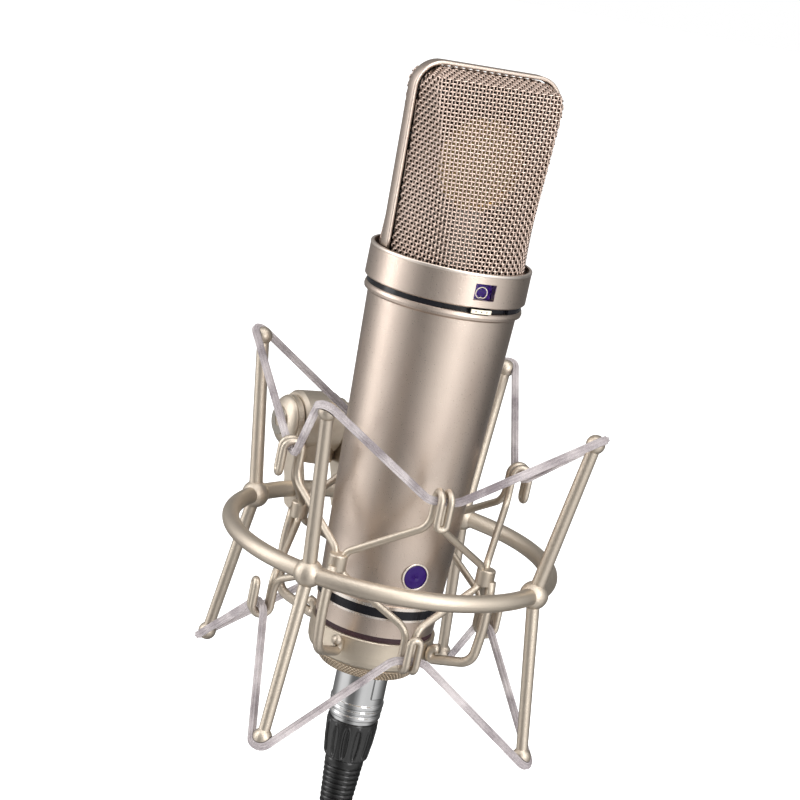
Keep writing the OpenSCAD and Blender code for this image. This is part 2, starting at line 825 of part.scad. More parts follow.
module latch_slot(grow) {
  at(latch_angle, 0, latch_z)
    translate([5, -latch_w / 2 - grow, -latch_h / 2 - grow])
      cube([10, latch_w + 2 * grow, latch_h + 2 * grow]);
}

module plug_shell() {
  about_axis() color("#b9bcc0") difference() {
    rotate_extrude() polygon([
      [core_r, shell_foot], [8.5, shell_foot], [8.5, -33.6], [9.4, -33.2], [9.4, -31], [9.7, -30.4],
      [9.7, -28.8], [shell_r, -28], [shell_r, shell_top - 0.4], [shell_r - 0.4, shell_top],
      [core_r, shell_top]]);
    latch_slot(0.25);
  }
}

module plug_insert() {
  about_axis() color("#1c1c1e") difference() {
    ring(0, core_r, -14, shell_top - 0.1);
    pin_places() translate([0, 0, -6]) cylinder(r = 1.8, h = 20);
  }
}

module plug_contacts() {
  about_axis() color("#d8b765") pin_places() difference() {
    translate([0, 0, -6]) cylinder(r = 1.8, h = shell_top + 5.9);
    translate([0, 0, -5]) cylinder(r = pin_r + 0.1, h = 20);
  }
}

module latch_button() {
  about_axis() color("#c8cacc") difference() {
    intersection() {
      latch_slot(0);
      ring(7.2, 10, latch_z - 10, latch_z + 10);
    }
    for (z = [-2.4:1.6:2.4]) ring(9.7, 11, latch_z + z - 0.3, latch_z + z + 0.3);
  }
}

bushing_in = 4.4;
module plug_bushing() {
  about_axis() color("#19191b") rotate_extrude() polygon([
    [bushing_in, bushing_foot], [7.5, bushing_foot], [8, bushing_foot + 0.6], [8.9, -44], [9.3, -38],
    [9.3, shell_foot - 0.6], [9, shell_foot], [bushing_in, shell_foot]]);
}

boot_ribs = 12;
rib_deep = 0.8;
module boot(length, r_start, r_end) {
  rib = length / (2 * boot_ribs);
  rotate_extrude() polygon(concat(
    [[lead_r, 0]],
    [for (i = [0:boot_ribs - 1]) let (r = mix(r_start, r_end, i / (boot_ribs - 1)))
      each [
        [r, -2 * i * rib], [r, -(2 * i + 1.2) * rib],
        [r - rib_deep, -(2 * i + 1.4) * rib], [r - rib_deep, -(2 * i + 1.9) * rib]]],
    [[r_end - rib_deep, -length], [lead_r, -length]]));
}

module plug_boot() {
  about_axis() color("#202022") translate([0, 0, bushing_foot]) boot(bushing_foot - boot_foot, 7, 4.9);
}

// ---------- Lead ----------

module lead_tube() {
  about_axis() color("#1b1b1d") {
    sweep(curve(lead_route, 2), lead_r, wire_sides, [0, 1, 0]);
    sweep(curve(tail_route, 2), lead_r, wire_sides, [1, 0, 0]);
  }
}

module lead_coil() {
  about_axis() color("#1b1b1d") translate([0, 0, coil_z]) rotate([90, 0, 0])
    ring(coil_in, coil_out, -coil_half, coil_half);
}

// A strap round the coil's turns
tie_at = -12;
tie_w = 14;
tie_t = 1.2;
tie_low = [-15.4, -225];
tie_high = [15.4, -192.5];
module coil_tie() {
  about_axis() color("#2a2a2e") difference() {
    translate([tie_at - tie_w / 2, tie_low.x - tie_t, tie_low.y - tie_t])
      cube([tie_w, tie_high.x - tie_low.x + 2 * tie_t, tie_high.y - tie_low.y + 2 * tie_t]);
    translate([tie_at - tie_w, tie_low.x, tie_low.y])
      cube([2 * tie_w, tie_high.x - tie_low.x, tie_high.y - tie_low.y]);
  }
}

module at_end_plug() { about_axis() translate(end_plug_at) children(); }

module end_plug_boot() {
  at_end_plug() color("#202022") {
    boot(end_boot_len, 4.7, 6.2);
    translate([0, 0, -end_boot_len]) rotate_extrude() polygon([
      [lead_r, 0], [6.8, 0], [8.8, -end_bushing_len + 4], [8.8, -end_bushing_len],
      [lead_r, -end_bushing_len]]);
  }
}

module end_plug_shell() {
  at_end_plug() color("#b9bcc0") translate([0, 0, -end_boot_len - end_bushing_len - end_shell_len])
    rotate_extrude() polygon([
      [7.9, 0], [8.8, 0], [9.1, 0.4], [9.1, 22], [8.8, 22.6], [8.8, 24], [9.1, 24.6],
      [9.1, end_shell_len - 2], [8.6, end_shell_len], [7.9, end_shell_len]]);
}

module end_plug_insert() {
  at_end_plug() color("#2a2a2c") translate([0, 0, -end_boot_len - end_bushing_len - end_shell_len]) {
    ring(0, 7.9, 14, 20);
    pin_places() translate([0, 0, 2]) cylinder(r = pin_r, h = 12);
  }
}

grille_bezel();
front_grille();
rear_grille();
grille_gauze();
head_ring();
indicator_window();
groove_strip();
shoulder_ring();
body_tube();
badge();
trim_rings();
base_band();
base_section();
threaded_collar();
head_plate();
capsule_saddle();
capsule_backplate();
front_diaphragm();
rear_diaphragm();
capsule_rings();
capsule_screws();
chassis_rails();
circuit_boards();
transformer();
chassis_screws();
socket_insert();
socket_pins();
pattern_drum();
pattern_switch();
pad_switch();
low_cut_switch();
swivel_block();
pivot_bolt();
clamp_knob();
bracket_arms();
outer_ring();
upper_posts();
lower_posts();
upper_elastic();
lower_elastic();
upper_lattice();
lower_lattice();
lattice_sleeves();
cup_wires();
basket_cup();
cup_washer();
knurled_nut();
nut_retainer();
plug_shell();
plug_insert();
plug_contacts();
plug_bushing();
plug_boot();
latch_button();
lead_tube();
lead_coil();
coil_tie();
end_plug_shell();
end_plug_insert();
end_plug_boot();
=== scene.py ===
import math

import bpy
import numpy as np
from mathutils import Matrix, Vector


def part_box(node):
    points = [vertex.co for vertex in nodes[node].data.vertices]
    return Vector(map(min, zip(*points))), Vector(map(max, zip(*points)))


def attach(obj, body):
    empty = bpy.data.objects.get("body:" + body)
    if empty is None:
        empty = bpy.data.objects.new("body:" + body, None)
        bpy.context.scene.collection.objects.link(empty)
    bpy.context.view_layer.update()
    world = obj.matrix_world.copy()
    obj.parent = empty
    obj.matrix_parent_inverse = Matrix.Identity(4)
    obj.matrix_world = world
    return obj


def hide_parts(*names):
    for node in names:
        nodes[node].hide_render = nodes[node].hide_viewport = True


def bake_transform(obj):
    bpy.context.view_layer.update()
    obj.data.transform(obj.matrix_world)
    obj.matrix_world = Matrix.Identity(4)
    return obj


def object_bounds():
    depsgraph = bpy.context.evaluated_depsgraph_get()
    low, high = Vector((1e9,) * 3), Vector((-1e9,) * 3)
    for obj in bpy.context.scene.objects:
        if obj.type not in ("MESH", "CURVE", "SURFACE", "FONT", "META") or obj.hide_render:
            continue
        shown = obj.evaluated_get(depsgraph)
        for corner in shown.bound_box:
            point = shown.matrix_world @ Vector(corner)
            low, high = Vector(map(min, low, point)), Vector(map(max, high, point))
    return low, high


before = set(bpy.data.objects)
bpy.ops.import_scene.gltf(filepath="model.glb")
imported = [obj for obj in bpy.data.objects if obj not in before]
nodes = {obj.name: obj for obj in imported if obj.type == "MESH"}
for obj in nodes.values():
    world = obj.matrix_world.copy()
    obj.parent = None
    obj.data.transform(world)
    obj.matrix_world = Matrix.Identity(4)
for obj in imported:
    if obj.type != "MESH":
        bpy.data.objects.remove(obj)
cad_box = [list(v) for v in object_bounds()]

# Part coordinates are millimetres about the microphone's axis, and the row frame is metres.
# The axis and the zero height come from the head ring, whose top is at RING_TOP.
RING_TOP = 135.5
_low, _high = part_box("head_ring")
ORIGIN = np.array([(_low.x + _high.x) / 2, (_low.y + _high.y) / 2, _high.z - RING_TOP / 1000])


def place(points):
    """Part coordinates in mm to the row frame in metres."""
    return np.asarray(points, float) / 1000 + ORIGIN


def polar(angle, r, z):
    a = math.radians(angle)
    return np.array([r * math.cos(a), r * math.sin(a), z])


def turned(points, angle):
    """The points turned about the microphone's axis."""
    a = math.radians(angle)
    c, s = math.cos(a), math.sin(a)
    return np.asarray(points, float) @ np.array([[c, s, 0], [-s, c, 0], [0, 0, 1]])


# ---------- Camera ----------
AZ, EL, ROLL = (math.radians(v) for v in (-28.22, 13.53, 11.93))
DISTANCE = 778.11
back = np.array([math.sin(AZ) * math.cos(EL), -math.cos(AZ) * math.cos(EL), math.sin(EL)])
level = np.array([math.cos(AZ), math.sin(AZ), 0.0])
upward = np.cross(back, level)
right = level * math.cos(ROLL) + upward * math.sin(ROLL)
up = -level * math.sin(ROLL) + upward * math.cos(ROLL)
eye = place(np.array([0, 0, 43.32]) + right * 0.8 + up * 38.04 + back * DISTANCE)
camera = bpy.data.objects.new("photo_camera", bpy.data.cameras.new("photo_camera"))
bpy.context.scene.collection.objects.link(camera)
camera.data.sensor_width = 36
camera.data.lens = 99.94
camera.data.clip_start = 0.02
camera.data.clip_end = 60
camera.matrix_world = Matrix(
    [[right[i], up[i], back[i], eye[i]] for i in range(3)] + [[0, 0, 0, 1]])
bpy.context.scene.camera = camera


# ---------- Mesh helpers ----------
def unit(v):
    v = np.asarray(v, float)
    return v / np.linalg.norm(v)


def mesh_object(name, verts, faces, smooth=True):
    mesh = bpy.data.meshes.new(name)
    mesh.from_pydata([tuple(v) for v in verts], [], [tuple(f) for f in faces])
    mesh.validate()
    mesh.update()
    mesh.polygons.foreach_set("use_smooth", [smooth] * len(mesh.polygons))
    obj = bpy.data.objects.new(name, mesh)
    bpy.context.scene.collection.objects.link(obj)
    return obj


def frames(path, closed, first):
    """Tangents and two sideways directions that turn as little as possible along the path."""
    p = np.asarray(path, float)
    if closed:
        run = np.roll(p, -1, 0) - np.roll(p, 1, 0)
    else:
        run = np.gradient(p, axis=0)
    run /= np.linalg.norm(run, axis=1)[:, None]
    side = np.zeros_like(p)
    v = np.asarray(first, float)
    for i, t in enumerate(run):
        v = v - t * (v @ t)
        v = v / np.linalg.norm(v)
        side[i] = v
    if closed:
        end = side[-1] - run[0] * (side[-1] @ run[0])
        end /= np.linalg.norm(end)
        twist = math.atan2(np.cross(side[0], end) @ run[0], side[0] @ end)
        for i in range(len(p)):
            a = -twist * i / len(p)
            w = np.cross(run[i], side[i])
            side[i] = side[i] * math.cos(a) + w * math.sin(a)
    return p, side, np.cross(run, side)


def tube_parts(path, r, sides, closed=False, first=(0, 0, 1), ripple=None):
    """Vertices and faces of a round tube. r is a number or one for each point."""
    p, s, w = frames(path, closed, first)
    n = len(p)
    radius = np.full(n, float(r)) if np.isscalar(r) else np.asarray(r, float)
    ang = np.arange(sides) * 2 * math.pi / sides
    shape = np.ones(sides) if ripple is None else 1 + ripple[1] * np.cos(ang * ripple[0])
    ring = (s[:, None, :] * (np.cos(ang) * shape)[None, :, None]
            + w[:, None, :] * (np.sin(ang) * shape)[None, :, None])
    verts = (p[:, None, :] + ring * radius[:, None, None]).reshape(-1, 3)
    rings = n if closed else n - 1
    i, k = np.meshgrid(np.arange(rings), np.arange(sides), indexing="ij")
    a, b, m = i * sides, ((i + 1) % n) * sides, (k + 1) % sides
    faces = np.stack([a + k, a + m, b + m, b + k], -1).reshape(-1, 4).tolist()
    if not closed:
        faces.append(list(range(sides))[::-1])
        faces.append([(n - 1) * sides + q for q in range(sides)])
    return verts, faces


def joined(name, parts, smooth=True):
    """One mesh from several sets of vertices and faces in part coordinates."""
    verts, faces, n = [], [], 0
    for v, f in parts:
        verts.append(np.asarray(v, float))
        faces += [[q + n for q in face] for face in f]
        n += len(v)
    verts = np.concatenate(verts)
    return mesh_object(name, place(verts), faces, smooth)


def lathe_parts(profile, steps=128, closed=True, radial=None):
    """A profile of (r, z) turned about the axis. radial(angle, z) is added to each radius."""
    prof = np.asarray(profile, float)
    ang = np.arange(steps) * 2 * math.pi / steps
    r = np.repeat(prof[:, :1], steps, 1)
    if radial is not None:
        r = r + np.array([[radial(a, z, q) for a in ang] for q, z in prof])
    verts = np.stack([r * np.cos(ang), r * np.sin(ang), np.repeat(prof[:, 1:], steps, 1)], -1)
    n = len(prof)
    faces = []
    for i in range(n if closed else n - 1):
        a, b = i * steps, ((i + 1) % n) * steps
        for k in range(steps):
            m = (k + 1) % steps
            faces.append([a + k, a + m, b + m, b + k])
    return verts.reshape(-1, 3), faces


def rounded_profile(points, cut=0.3, steps=3):
    """A closed profile with its corners rounded by at most cut."""
    p = [np.array(q, float) for q in points]
    out = []
    for i, c in enumerate(p):
        a, b = p[i - 1], p[(i + 1) % len(p)]
        d = min(cut, 0.45 * np.linalg.norm(a - c), 0.45 * np.linalg.norm(b - c))
        u, v = c + unit(a - c) * d, c + unit(b - c) * d
        for k in range(steps + 1):
            t = k / steps
            out.append(u * (1 - t) ** 2 + 2 * c * t * (1 - t) + v * t * t)
    return np.array(out)


def rounded(points, cuts, n=8):
    """The path with its corners rounded: cuts[i] is how far before corner i the arc starts."""
    p = [np.array(q, float) for q in points]
    out = [p[0]]
    for i in range(1, len(p) - 1):
        out += corner(p[i - 1], p[i], p[i + 1], cuts[i], n)
    return np.array(out + [p[-1]])


def corner(a, c, b, cut, n):
    u, v = unit(c - a), unit(b - c)
    turn = math.acos(max(-1, min(1, u @ v)))
    r = cut / math.tan(turn / 2)
    side = unit(v - u * (u @ v))
    o = c - u * cut + side * r
    return [o + r * (u * math.sin(turn * k / n) - side * math.cos(turn * k / n)) for k in range(n + 1)]


def spread(path, step):
    """The path with points about one step apart, its own points kept."""
    out = [path[0]]
    for a, b in zip(path[:-1], path[1:]):
        n = max(1, int(round(np.linalg.norm(b - a) / step)))
        out += [a + (b - a) * k / n for k in range(1, n + 1)]
    return np.array(out)


def curve(p, n):
    """A smooth curve through the points p, with n steps between each two."""
    p = np.asarray(p, float)
    out = []
    for i in range(len(p) - 1):
        a, b, c, d = p[max(i - 1, 0)], p[i], p[i + 1], p[min(i + 2, len(p) - 1)]
        for j in range(n):
            t = j / n
            out.append(b + (c - a) * t / 2 + (2 * a - 5 * b + 4 * c - d) * t * t / 2
                       + (3 * b - a - 3 * c + d) * t ** 3 / 2)
    return np.array(out + [p[-1]])


# ---------- Materials ----------
class Nodes:
    """Small helper that builds one material's nodes."""

    def __init__(self, name):
        self.mat = bpy.data.materials.new(name)
        self.mat.use_nodes = True
        self.tree = self.mat.node_tree
        self.bsdf = self.tree.nodes["Principled BSDF"]
        self.coord = self.tree.nodes.new("ShaderNodeTexCoord").outputs["Object"]

    def add(self, kind, **values):
        node = self.tree.nodes.new(kind)
        for key, value in values.items():
            if hasattr(node, key):
                setattr(node, key, value)
            else:
                node.inputs[key.replace("_", " ")].default_value = value
        return node

    def link(self, a, b):
        self.tree.links.new(a, b)

    def noise(self, scale, detail=2.0, stretch=None):
        node = self.add("ShaderNodeTexNoise", Scale=scale, Detail=detail)
        source = self.coord
        if stretch:
            mapping = self.add("ShaderNodeMapping")
            mapping.inputs["Scale"].default_value = stretch
            self.link(source, mapping.inputs["Vector"])
            source = mapping.outputs["Vector"]
        self.link(source, node.inputs["Vector"])
        return node.outputs["Fac"]

    def ramp(self, source, low, high, a, b):
        node = self.add("ShaderNodeMapRange")
        for key, value in (("From Min", low), ("From Max", high), ("To Min", a), ("To Max", b)):
            node.inputs[key].default_value = value
        self.link(source, node.inputs["Value"])
        return node.outputs["Result"]

    def mix(self, fac, a, b):
        node = self.add("ShaderNodeMix", data_type="RGBA")
        node.inputs["A"].default_value = (*a, 1)
        node.inputs["B"].default_value = (*b, 1)
        self.link(fac, node.inputs["Factor"])
        return node.outputs["Result"]

    def bump(self, height, strength, distance, under=None):
        node = self.add("ShaderNodeBump", Strength=strength, Distance=distance)
        self.link(height, node.inputs["Height"])
        if under is not None:
            self.link(under, node.inputs["Normal"])
        return node.outputs["Normal"]

    def set(self, **values):
        for key, value in values.items():
            self.bsdf.inputs[key.replace("_", " ")].default_value = value

    def grain(self, colours, roughness, scale, strength, distance, patch=40):
        """Colour that drifts between two tones, a rough grain and its bump."""
        drift = self.noise(patch, 3.0)
        self.link(self.mix(self.ramp(drift, 0.35, 0.65, 0, 1), *colours), self.bsdf.inputs["Base Color"])
        fine = self.noise(scale, 3.0)
        self.link(self.ramp(fine, 0.3, 0.7, roughness[0], roughness[1]), self.bsdf.inputs["Roughness"])
        normal = self.bump(fine, strength, distance)
        self.link(normal, self.bsdf.inputs["Normal"])
        return fine


def metal(name, colours, roughness, scale=2600, strength=0.25, distance=0.00008, patch=35, alpha=1.0):
    m = Nodes(name)
    m.set(Metallic=1.0, Alpha=alpha)
    m.grain(colours, roughness, scale, strength, distance, patch)
    return m.mat


def plain_material(name, colours, roughness, scale=900, strength=0.15, distance=0.0001, **sockets):
    m = Nodes(name)
    m.grain(colours, roughness, scale, strength, distance)
    m.set(**sockets)
    return m.mat


SATIN = metal("satin_nickel", ((0.60, 0.50, 0.43), (0.64, 0.54, 0.465)), (0.26, 0.44), 2700, 0.55, 0.00010)
RIM = metal("polished_rim", ((0.82, 0.74, 0.67), (0.87, 0.80, 0.73)), (0.20, 0.30), 1500, 0.10, 0.00004)
WIRE = metal("grille_wire", ((0.58, 0.455, 0.385), (0.635, 0.505, 0.435)),
             (0.26, 0.38), 4000, 0.15, 0.00004)
GAUZE_TONES = ((0.030, 0.019, 0.012), (0.055, 0.036, 0.024))
GAUZE_FRONT = metal("dark_gauze_front", GAUZE_TONES, (0.45, 0.6), 6000, 0.5, 0.0001, alpha=0.38)
# The rear gauze has the front's tone but is near opaque, so the head's inside looks dark through the front:
# painted shade
GAUZE_REAR_PAINTED_SHADE = metal("dark_gauze_rear_painted_shade", GAUZE_TONES, (0.45, 0.6), 6000, 0.5, 0.0001, alpha=0.96)
# A lighter copy of the satin nickel for the head ring's top edge: a painted highlight
LIP_HIGHLIGHT = metal("ring_lip_painted_highlight", ((0.88, 0.78, 0.69), (0.93, 0.84, 0.76)), (0.33, 0.40), 900, 0.03, 0.00002)
MOUNT = metal("mount_satin", ((0.585, 0.51, 0.425), (0.635, 0.56, 0.465)),
              (0.40, 0.54), 2000, 0.60, 0.00014)
MOUNT_CUP = metal("mount_cup_satin", ((0.625, 0.545, 0.445), (0.675, 0.595, 0.485)),
                  (0.38, 0.58), 2700, 0.50, 0.00010)
NUT = metal("nut_satin", ((0.55, 0.44, 0.33), (0.60, 0.49, 0.37)), (0.28, 0.4), 2200, 0.2, 0.0001)
KNOB = metal("knob_steel", ((0.50, 0.46, 0.40), (0.56, 0.51, 0.45)), (0.26, 0.36), 2000, 0.2, 0.0001)
COLLAR = metal("collar_nickel", ((0.56, 0.53, 0.48), (0.62, 0.58, 0.52)), (0.24, 0.34), 1800, 0.2, 0.0001)
BRASS = metal("capsule_brass", ((0.72, 0.50, 0.20), (0.80, 0.58, 0.26)), (0.22, 0.34), 1600, 0.2, 0.0001)
GOLD = metal("gold_film", ((0.95, 0.70, 0.30), (0.98, 0.76, 0.38)), (0.12, 0.2), 500, 0.08, 0.0001)
PINS = metal("gold_pins", ((0.85, 0.62, 0.26), (0.90, 0.68, 0.32)), (0.18, 0.28), 1400, 0.1, 0.0001)
SCREWS = metal("small_screws", ((0.68, 0.67, 0.62), (0.74, 0.73, 0.69)), (0.2, 0.32), 1500, 0.2, 0.0001)
CHASSIS = metal("chassis_aluminium", ((0.55, 0.55, 0.53), (0.62, 0.62, 0.60)),
                (0.35, 0.5), 1200, 0.3, 0.0001)
CHROME = metal("plug_nickel", ((0.58, 0.58, 0.58), (0.70, 0.70, 0.70)), (0.03, 0.07), 900, 0.10, 0.00006)
BLACK_GLOSS = plain_material("black_enamel", ((0.004, 0.004, 0.006), (0.009, 0.009, 0.012)),
                             (0.14, 0.22), 300, 0.05,
                             Specular_IOR_Level=0.28)
WASHER = plain_material("oxblood_fibre", ((0.030, 0.008, 0.014), (0.045, 0.013, 0.020)),
                        (0.45, 0.6), 1500, 0.4)
VIOLET = plain_material("violet_enamel", ((0.020, 0.004, 0.095), (0.030, 0.008, 0.125)),
                        (0.18, 0.28), 700, 0.08,
                        Specular_IOR_Level=0.22)
CREAM = plain_material("cream_inlay", ((0.74, 0.66, 0.52), (0.80, 0.72, 0.58)), (0.3, 0.42), 900, 0.15)
IVORY = plain_material("ivory_plastic", ((0.66, 0.62, 0.54), (0.72, 0.68, 0.60)), (0.4, 0.5))
INSULATOR = plain_material("black_laminate", ((0.020, 0.018, 0.016), (0.030, 0.027, 0.025)), (0.4, 0.55))
BOARD = plain_material("green_board", ((0.015, 0.11, 0.04), (0.02, 0.14, 0.055)), (0.3, 0.42), 500, 0.2)
CAN = plain_material("grey_lacquer", ((0.15, 0.15, 0.16), (0.19, 0.19, 0.20)), (0.4, 0.5))
INSERT = plain_material("black_insert", ((0.010, 0.010, 0.011), (0.016, 0.016, 0.017)), (0.3, 0.4))
BUSHING = plain_material("satin_black", ((0.006, 0.006, 0.006), (0.011, 0.011, 0.011)),
                         (0.15, 0.24), 2200, 0.20,
                         Specular_IOR_Level=0.60)
BOOT = plain_material("boot_rubber", ((0.004, 0.004, 0.004), (0.008, 0.008, 0.008)),
                      (0.16, 0.26), 1800, 0.2,
                      Specular_IOR_Level=0.50)
JACKET = plain_material("lead_jacket", ((0.012, 0.012, 0.013), (0.019, 0.019, 0.020)),
                        (0.4, 0.55), 3000, 0.4)


def fabric_material(name, dark, light, pitch):
    """Covered elastic: fine ribs, fuzz and a soft sheen."""
    m = Nodes(name)
    fuzz = m.noise(2600, 4.0)
    drift = m.noise(90, 3.0)
    both = m.add("ShaderNodeMath", operation="MULTIPLY_ADD")
    both.inputs[1].default_value = 0.5
    m.link(fuzz, both.inputs[0])
    m.link(drift, both.inputs[2])
    m.link(m.mix(m.ramp(both.outputs[0], 0.55, 0.95, 0, 1), dark, light), m.bsdf.inputs["Base Color"])
    m.link(m.ramp(fuzz, 0.3, 0.7, 0.62, 0.85), m.bsdf.inputs["Roughness"])
    m.set(Sheen_Weight=0.10, Sheen_Roughness=0.45)
    m.link(m.bump(fuzz, 0.5, pitch), m.bsdf.inputs["Normal"])
    return m.mat


ELASTIC = fabric_material("elastic_cover", (0.20, 0.17, 0.18), (0.52, 0.475, 0.475), 0.00030)
TIE = fabric_material("tie_fabric", (0.012, 0.012, 0.014), (0.035, 0.035, 0.038), 0.0003)


def glass_material():
    m = Nodes("window_glass")
    fine = m.noise(120, 2.0)
    m.set(Transmission_Weight=1.0, IOR=1.05)
    m.link(m.mix(fine, (0.96, 0.96, 0.98), (1, 1, 1)), m.bsdf.inputs["Base Color"])
    m.link(m.ramp(fine, 0.3, 0.7, 0.02, 0.05), m.bsdf.inputs["Roughness"])
    return m.mat


GLASS = glass_material()


def paint(obj, mat):
    obj.data.materials.clear()
    obj.data.materials.append(mat)
    return obj


def piece(obj, mat, slot, body, *replaced):
    paint(obj, mat)
    if body:
        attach(obj, body)
    if replaced:
        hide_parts(*replaced)
    return obj


# ---------- Lead ----------
LEAD_R = 3.0
LEAD_ROUTE = [
    (0, 0, -82), (0, 0, -86), (1, 1, -92.5), (3.8, 5.6, -101), (8.2, 11.6, -109.2),
    (14, 16.6, -116.4), (21.1, 18.5, -122.5), (29.3, 18.5, -128.2), (37.3, 18.4, -135.2), (43.3, 17, -143),
    (47.6, 14.9, -151.7), (50.2, 12.8, -161.1), (51, 12, -170)]
TAIL_ROUTE = [
    (-33, 6, -170), (-32.3, 7.2, -162.7), (-30.4, 10.5, -156.4), (-27.5, 15.5, -152), (-24.6, 20.5, -147.6),
    (-22.7, 23.9, -141.3), (-22, 25, -134), (-20.2, 25, -124.8), (-15, 25, -117), (-7.2, 25, -111.8),
    (2, 25, -110), (11.2, 25, -111.8), (19, 25, -117), (24.2, 25, -124.8), (26, 25, -134),
    (26, 25, -140), (26, 25, -146)]
COIL_Z = -170
FORTH = (12, 6, 0, -6, -12)
BACK_AGAIN = FORTH[::-1]
# Each layer's radius and where its turns lie
COIL_LAYERS = ((51, FORTH), (45, BACK_AGAIN), (39, FORTH), (33, BACK_AGAIN[:-1]))
# The share of a turn in which one turn eases over to the next
SHIFT = 0.12
POINTS_PER_TURN = 40


def coil_points():
    """The coil's turns: plain circles that ease over one after another, so that no two turns meet."""
    turns = [(r, y) for r, rows in COIL_LAYERS for y in rows]
    start, late = [], 1 - SHIFT
    for i, (r, y) in enumerate(turns):
        leaves_layer = i + 1 < len(turns) and turns[i + 1][0] != r
        late -= SHIFT if leaves_layer else 0
        start.append(late)
        late -= SHIFT if leaves_layer else 0
    out = []
    total = len(turns) - 1.5
    for q in range(1, int(total * POINTS_PER_TURN) + 1):
        t = q / POINTS_PER_TURN
        i = min(int(t), len(turns) - 1)
        j = min(i + 1, len(turns) - 1)
        f = min(1.0, max(0.0, (t - i - start[i]) / SHIFT))
        f = f * f * (3 - 2 * f)
        r = turns[i][0] + (turns[j][0] - turns[i][0]) * f
        y = turns[i][1] + (turns[j][1] - turns[i][1]) * f
        a = -2 * math.pi * t
        out.append((r * math.cos(a), y, COIL_Z + r * math.sin(a)))
    return out


lead_points = np.array(list(curve(LEAD_ROUTE, 3)) + coil_points() + list(curve(TAIL_ROUTE, 3)[1:]))
lead_curve = bpy.data.curves.new("microphone_lead", "CURVE")
lead_curve.dimensions = "3D"
lead_curve.bevel_depth = LEAD_R / 1000
lead_curve.bevel_resolution = 4
lead_curve.use_fill_caps = True
line = lead_curve.splines.new("POLY")
line.points.add(len(lead_points) - 1)
line.points.foreach_set("co", np.c_[place(lead_points), np.ones(len(lead_points))].ravel())
line.use_smooth = True
lead = bpy.data.objects.new("microphone_lead", lead_curve)
bpy.context.scene.collection.objects.link(lead)
piece(lead, JACKET, "lead_jacket", "lead_plug", "lead_tube", "lead_coil")

# ---------- Floor, world and lights ----------
# Below the lowest pose: the plug out by 25 mm and the suspension down by 4 mm
FLOOR_DROP = 0.033
floor_z = cad_box[0][2] - FLOOR_DROP
floor = mesh_object("floor", [(-8, -8, floor_z), (8, -8, floor_z), (8, 8, floor_z), (-8, 8, floor_z)],
                    [(0, 1, 2, 3)], False)
floor.visible_glossy = False
pale = Nodes("pale_floor")
pale.link(pale.mix(pale.noise(3, 2.0), (0.93, 0.93, 0.93), (0.95, 0.95, 0.95)), pale.bsdf.inputs["Base Color"])
pale.set(Roughness=0.9, Emission_Color=(1, 1, 1, 1), Emission_Strength=0.45)
paint(floor, pale.mat)

scene = bpy.context.scene
scene.view_settings.view_transform = "Standard"
world = bpy.data.worlds.new("studio")
scene.world = world
world.use_nodes = True
world_tree = world.node_tree
world_tree.nodes.clear()


def wnode(kind, **values):
    node = world_tree.nodes.new(kind)
    for key, value in values.items():
        setattr(node, key, value)
    return node


# Brightness of the studio by direction round the object, in degrees from the camera's side
STRIPS = [(-180, 0.25), (-150, 0.30), (-125, 0.50), (-100, 1.25), (-80, 1.60), (-62, 1.50), (-45, 0.62),
          (-26, 0.31), (-8, 0.55), (8, 1.10), (24, 1.50), (48, 1.45), (68, 1.42), (88, 0.90), (108, 0.36),
          (128, 0.16), (150, 0.18), (165, 0.26), (180, 0.25)]
direction = wnode("ShaderNodeTexCoord")
split = wnode("ShaderNodeSeparateXYZ")
world_tree.links.new(direction.outputs["Generated"], split.inputs[0])
# Turned so that zero looks from the object towards the camera's side
dir_right = wnode("ShaderNodeVectorMath", operation="DOT_PRODUCT")
dir_right.inputs[1].default_value = (math.cos(AZ), math.sin(AZ), 0)
dir_front = wnode("ShaderNodeVectorMath", operation="DOT_PRODUCT")
dir_front.inputs[1].default_value = (math.sin(AZ), -math.cos(AZ), 0)
for d in (dir_right, dir_front):
    world_tree.links.new(direction.outputs["Generated"], d.inputs[0])
angle = wnode("ShaderNodeMath", operation="ARCTAN2")
world_tree.links.new(dir_right.outputs["Value"], angle.inputs[0])
world_tree.links.new(dir_front.outputs["Value"], angle.inputs[1])
to_unit = wnode("ShaderNodeMapRange")
to_unit.inputs["From Min"].default_value = -math.pi
to_unit.inputs["From Max"].default_value = math.pi
world_tree.links.new(angle.outputs[0], to_unit.inputs["Value"])
strips = wnode("ShaderNodeFloatCurve")
mapping = strips.mapping
for i, (deg, v) in enumerate(STRIPS):
    x, y = (deg + 180) / 360, v / 2
    if i == 0:
        mapping.curves[0].points[0].location = (x, y)
    elif i == len(STRIPS) - 1:
        mapping.curves[0].points[-1].location = (x, y)
    else:
        mapping.curves[0].points.new(x, y)
mapping.update()
world_tree.links.new(to_unit.outputs["Result"], strips.inputs["Value"])
double = wnode("ShaderNodeMath", operation="MULTIPLY")
double.inputs[1].default_value = 2
world_tree.links.new(strips.outputs["Value"], double.inputs[0])
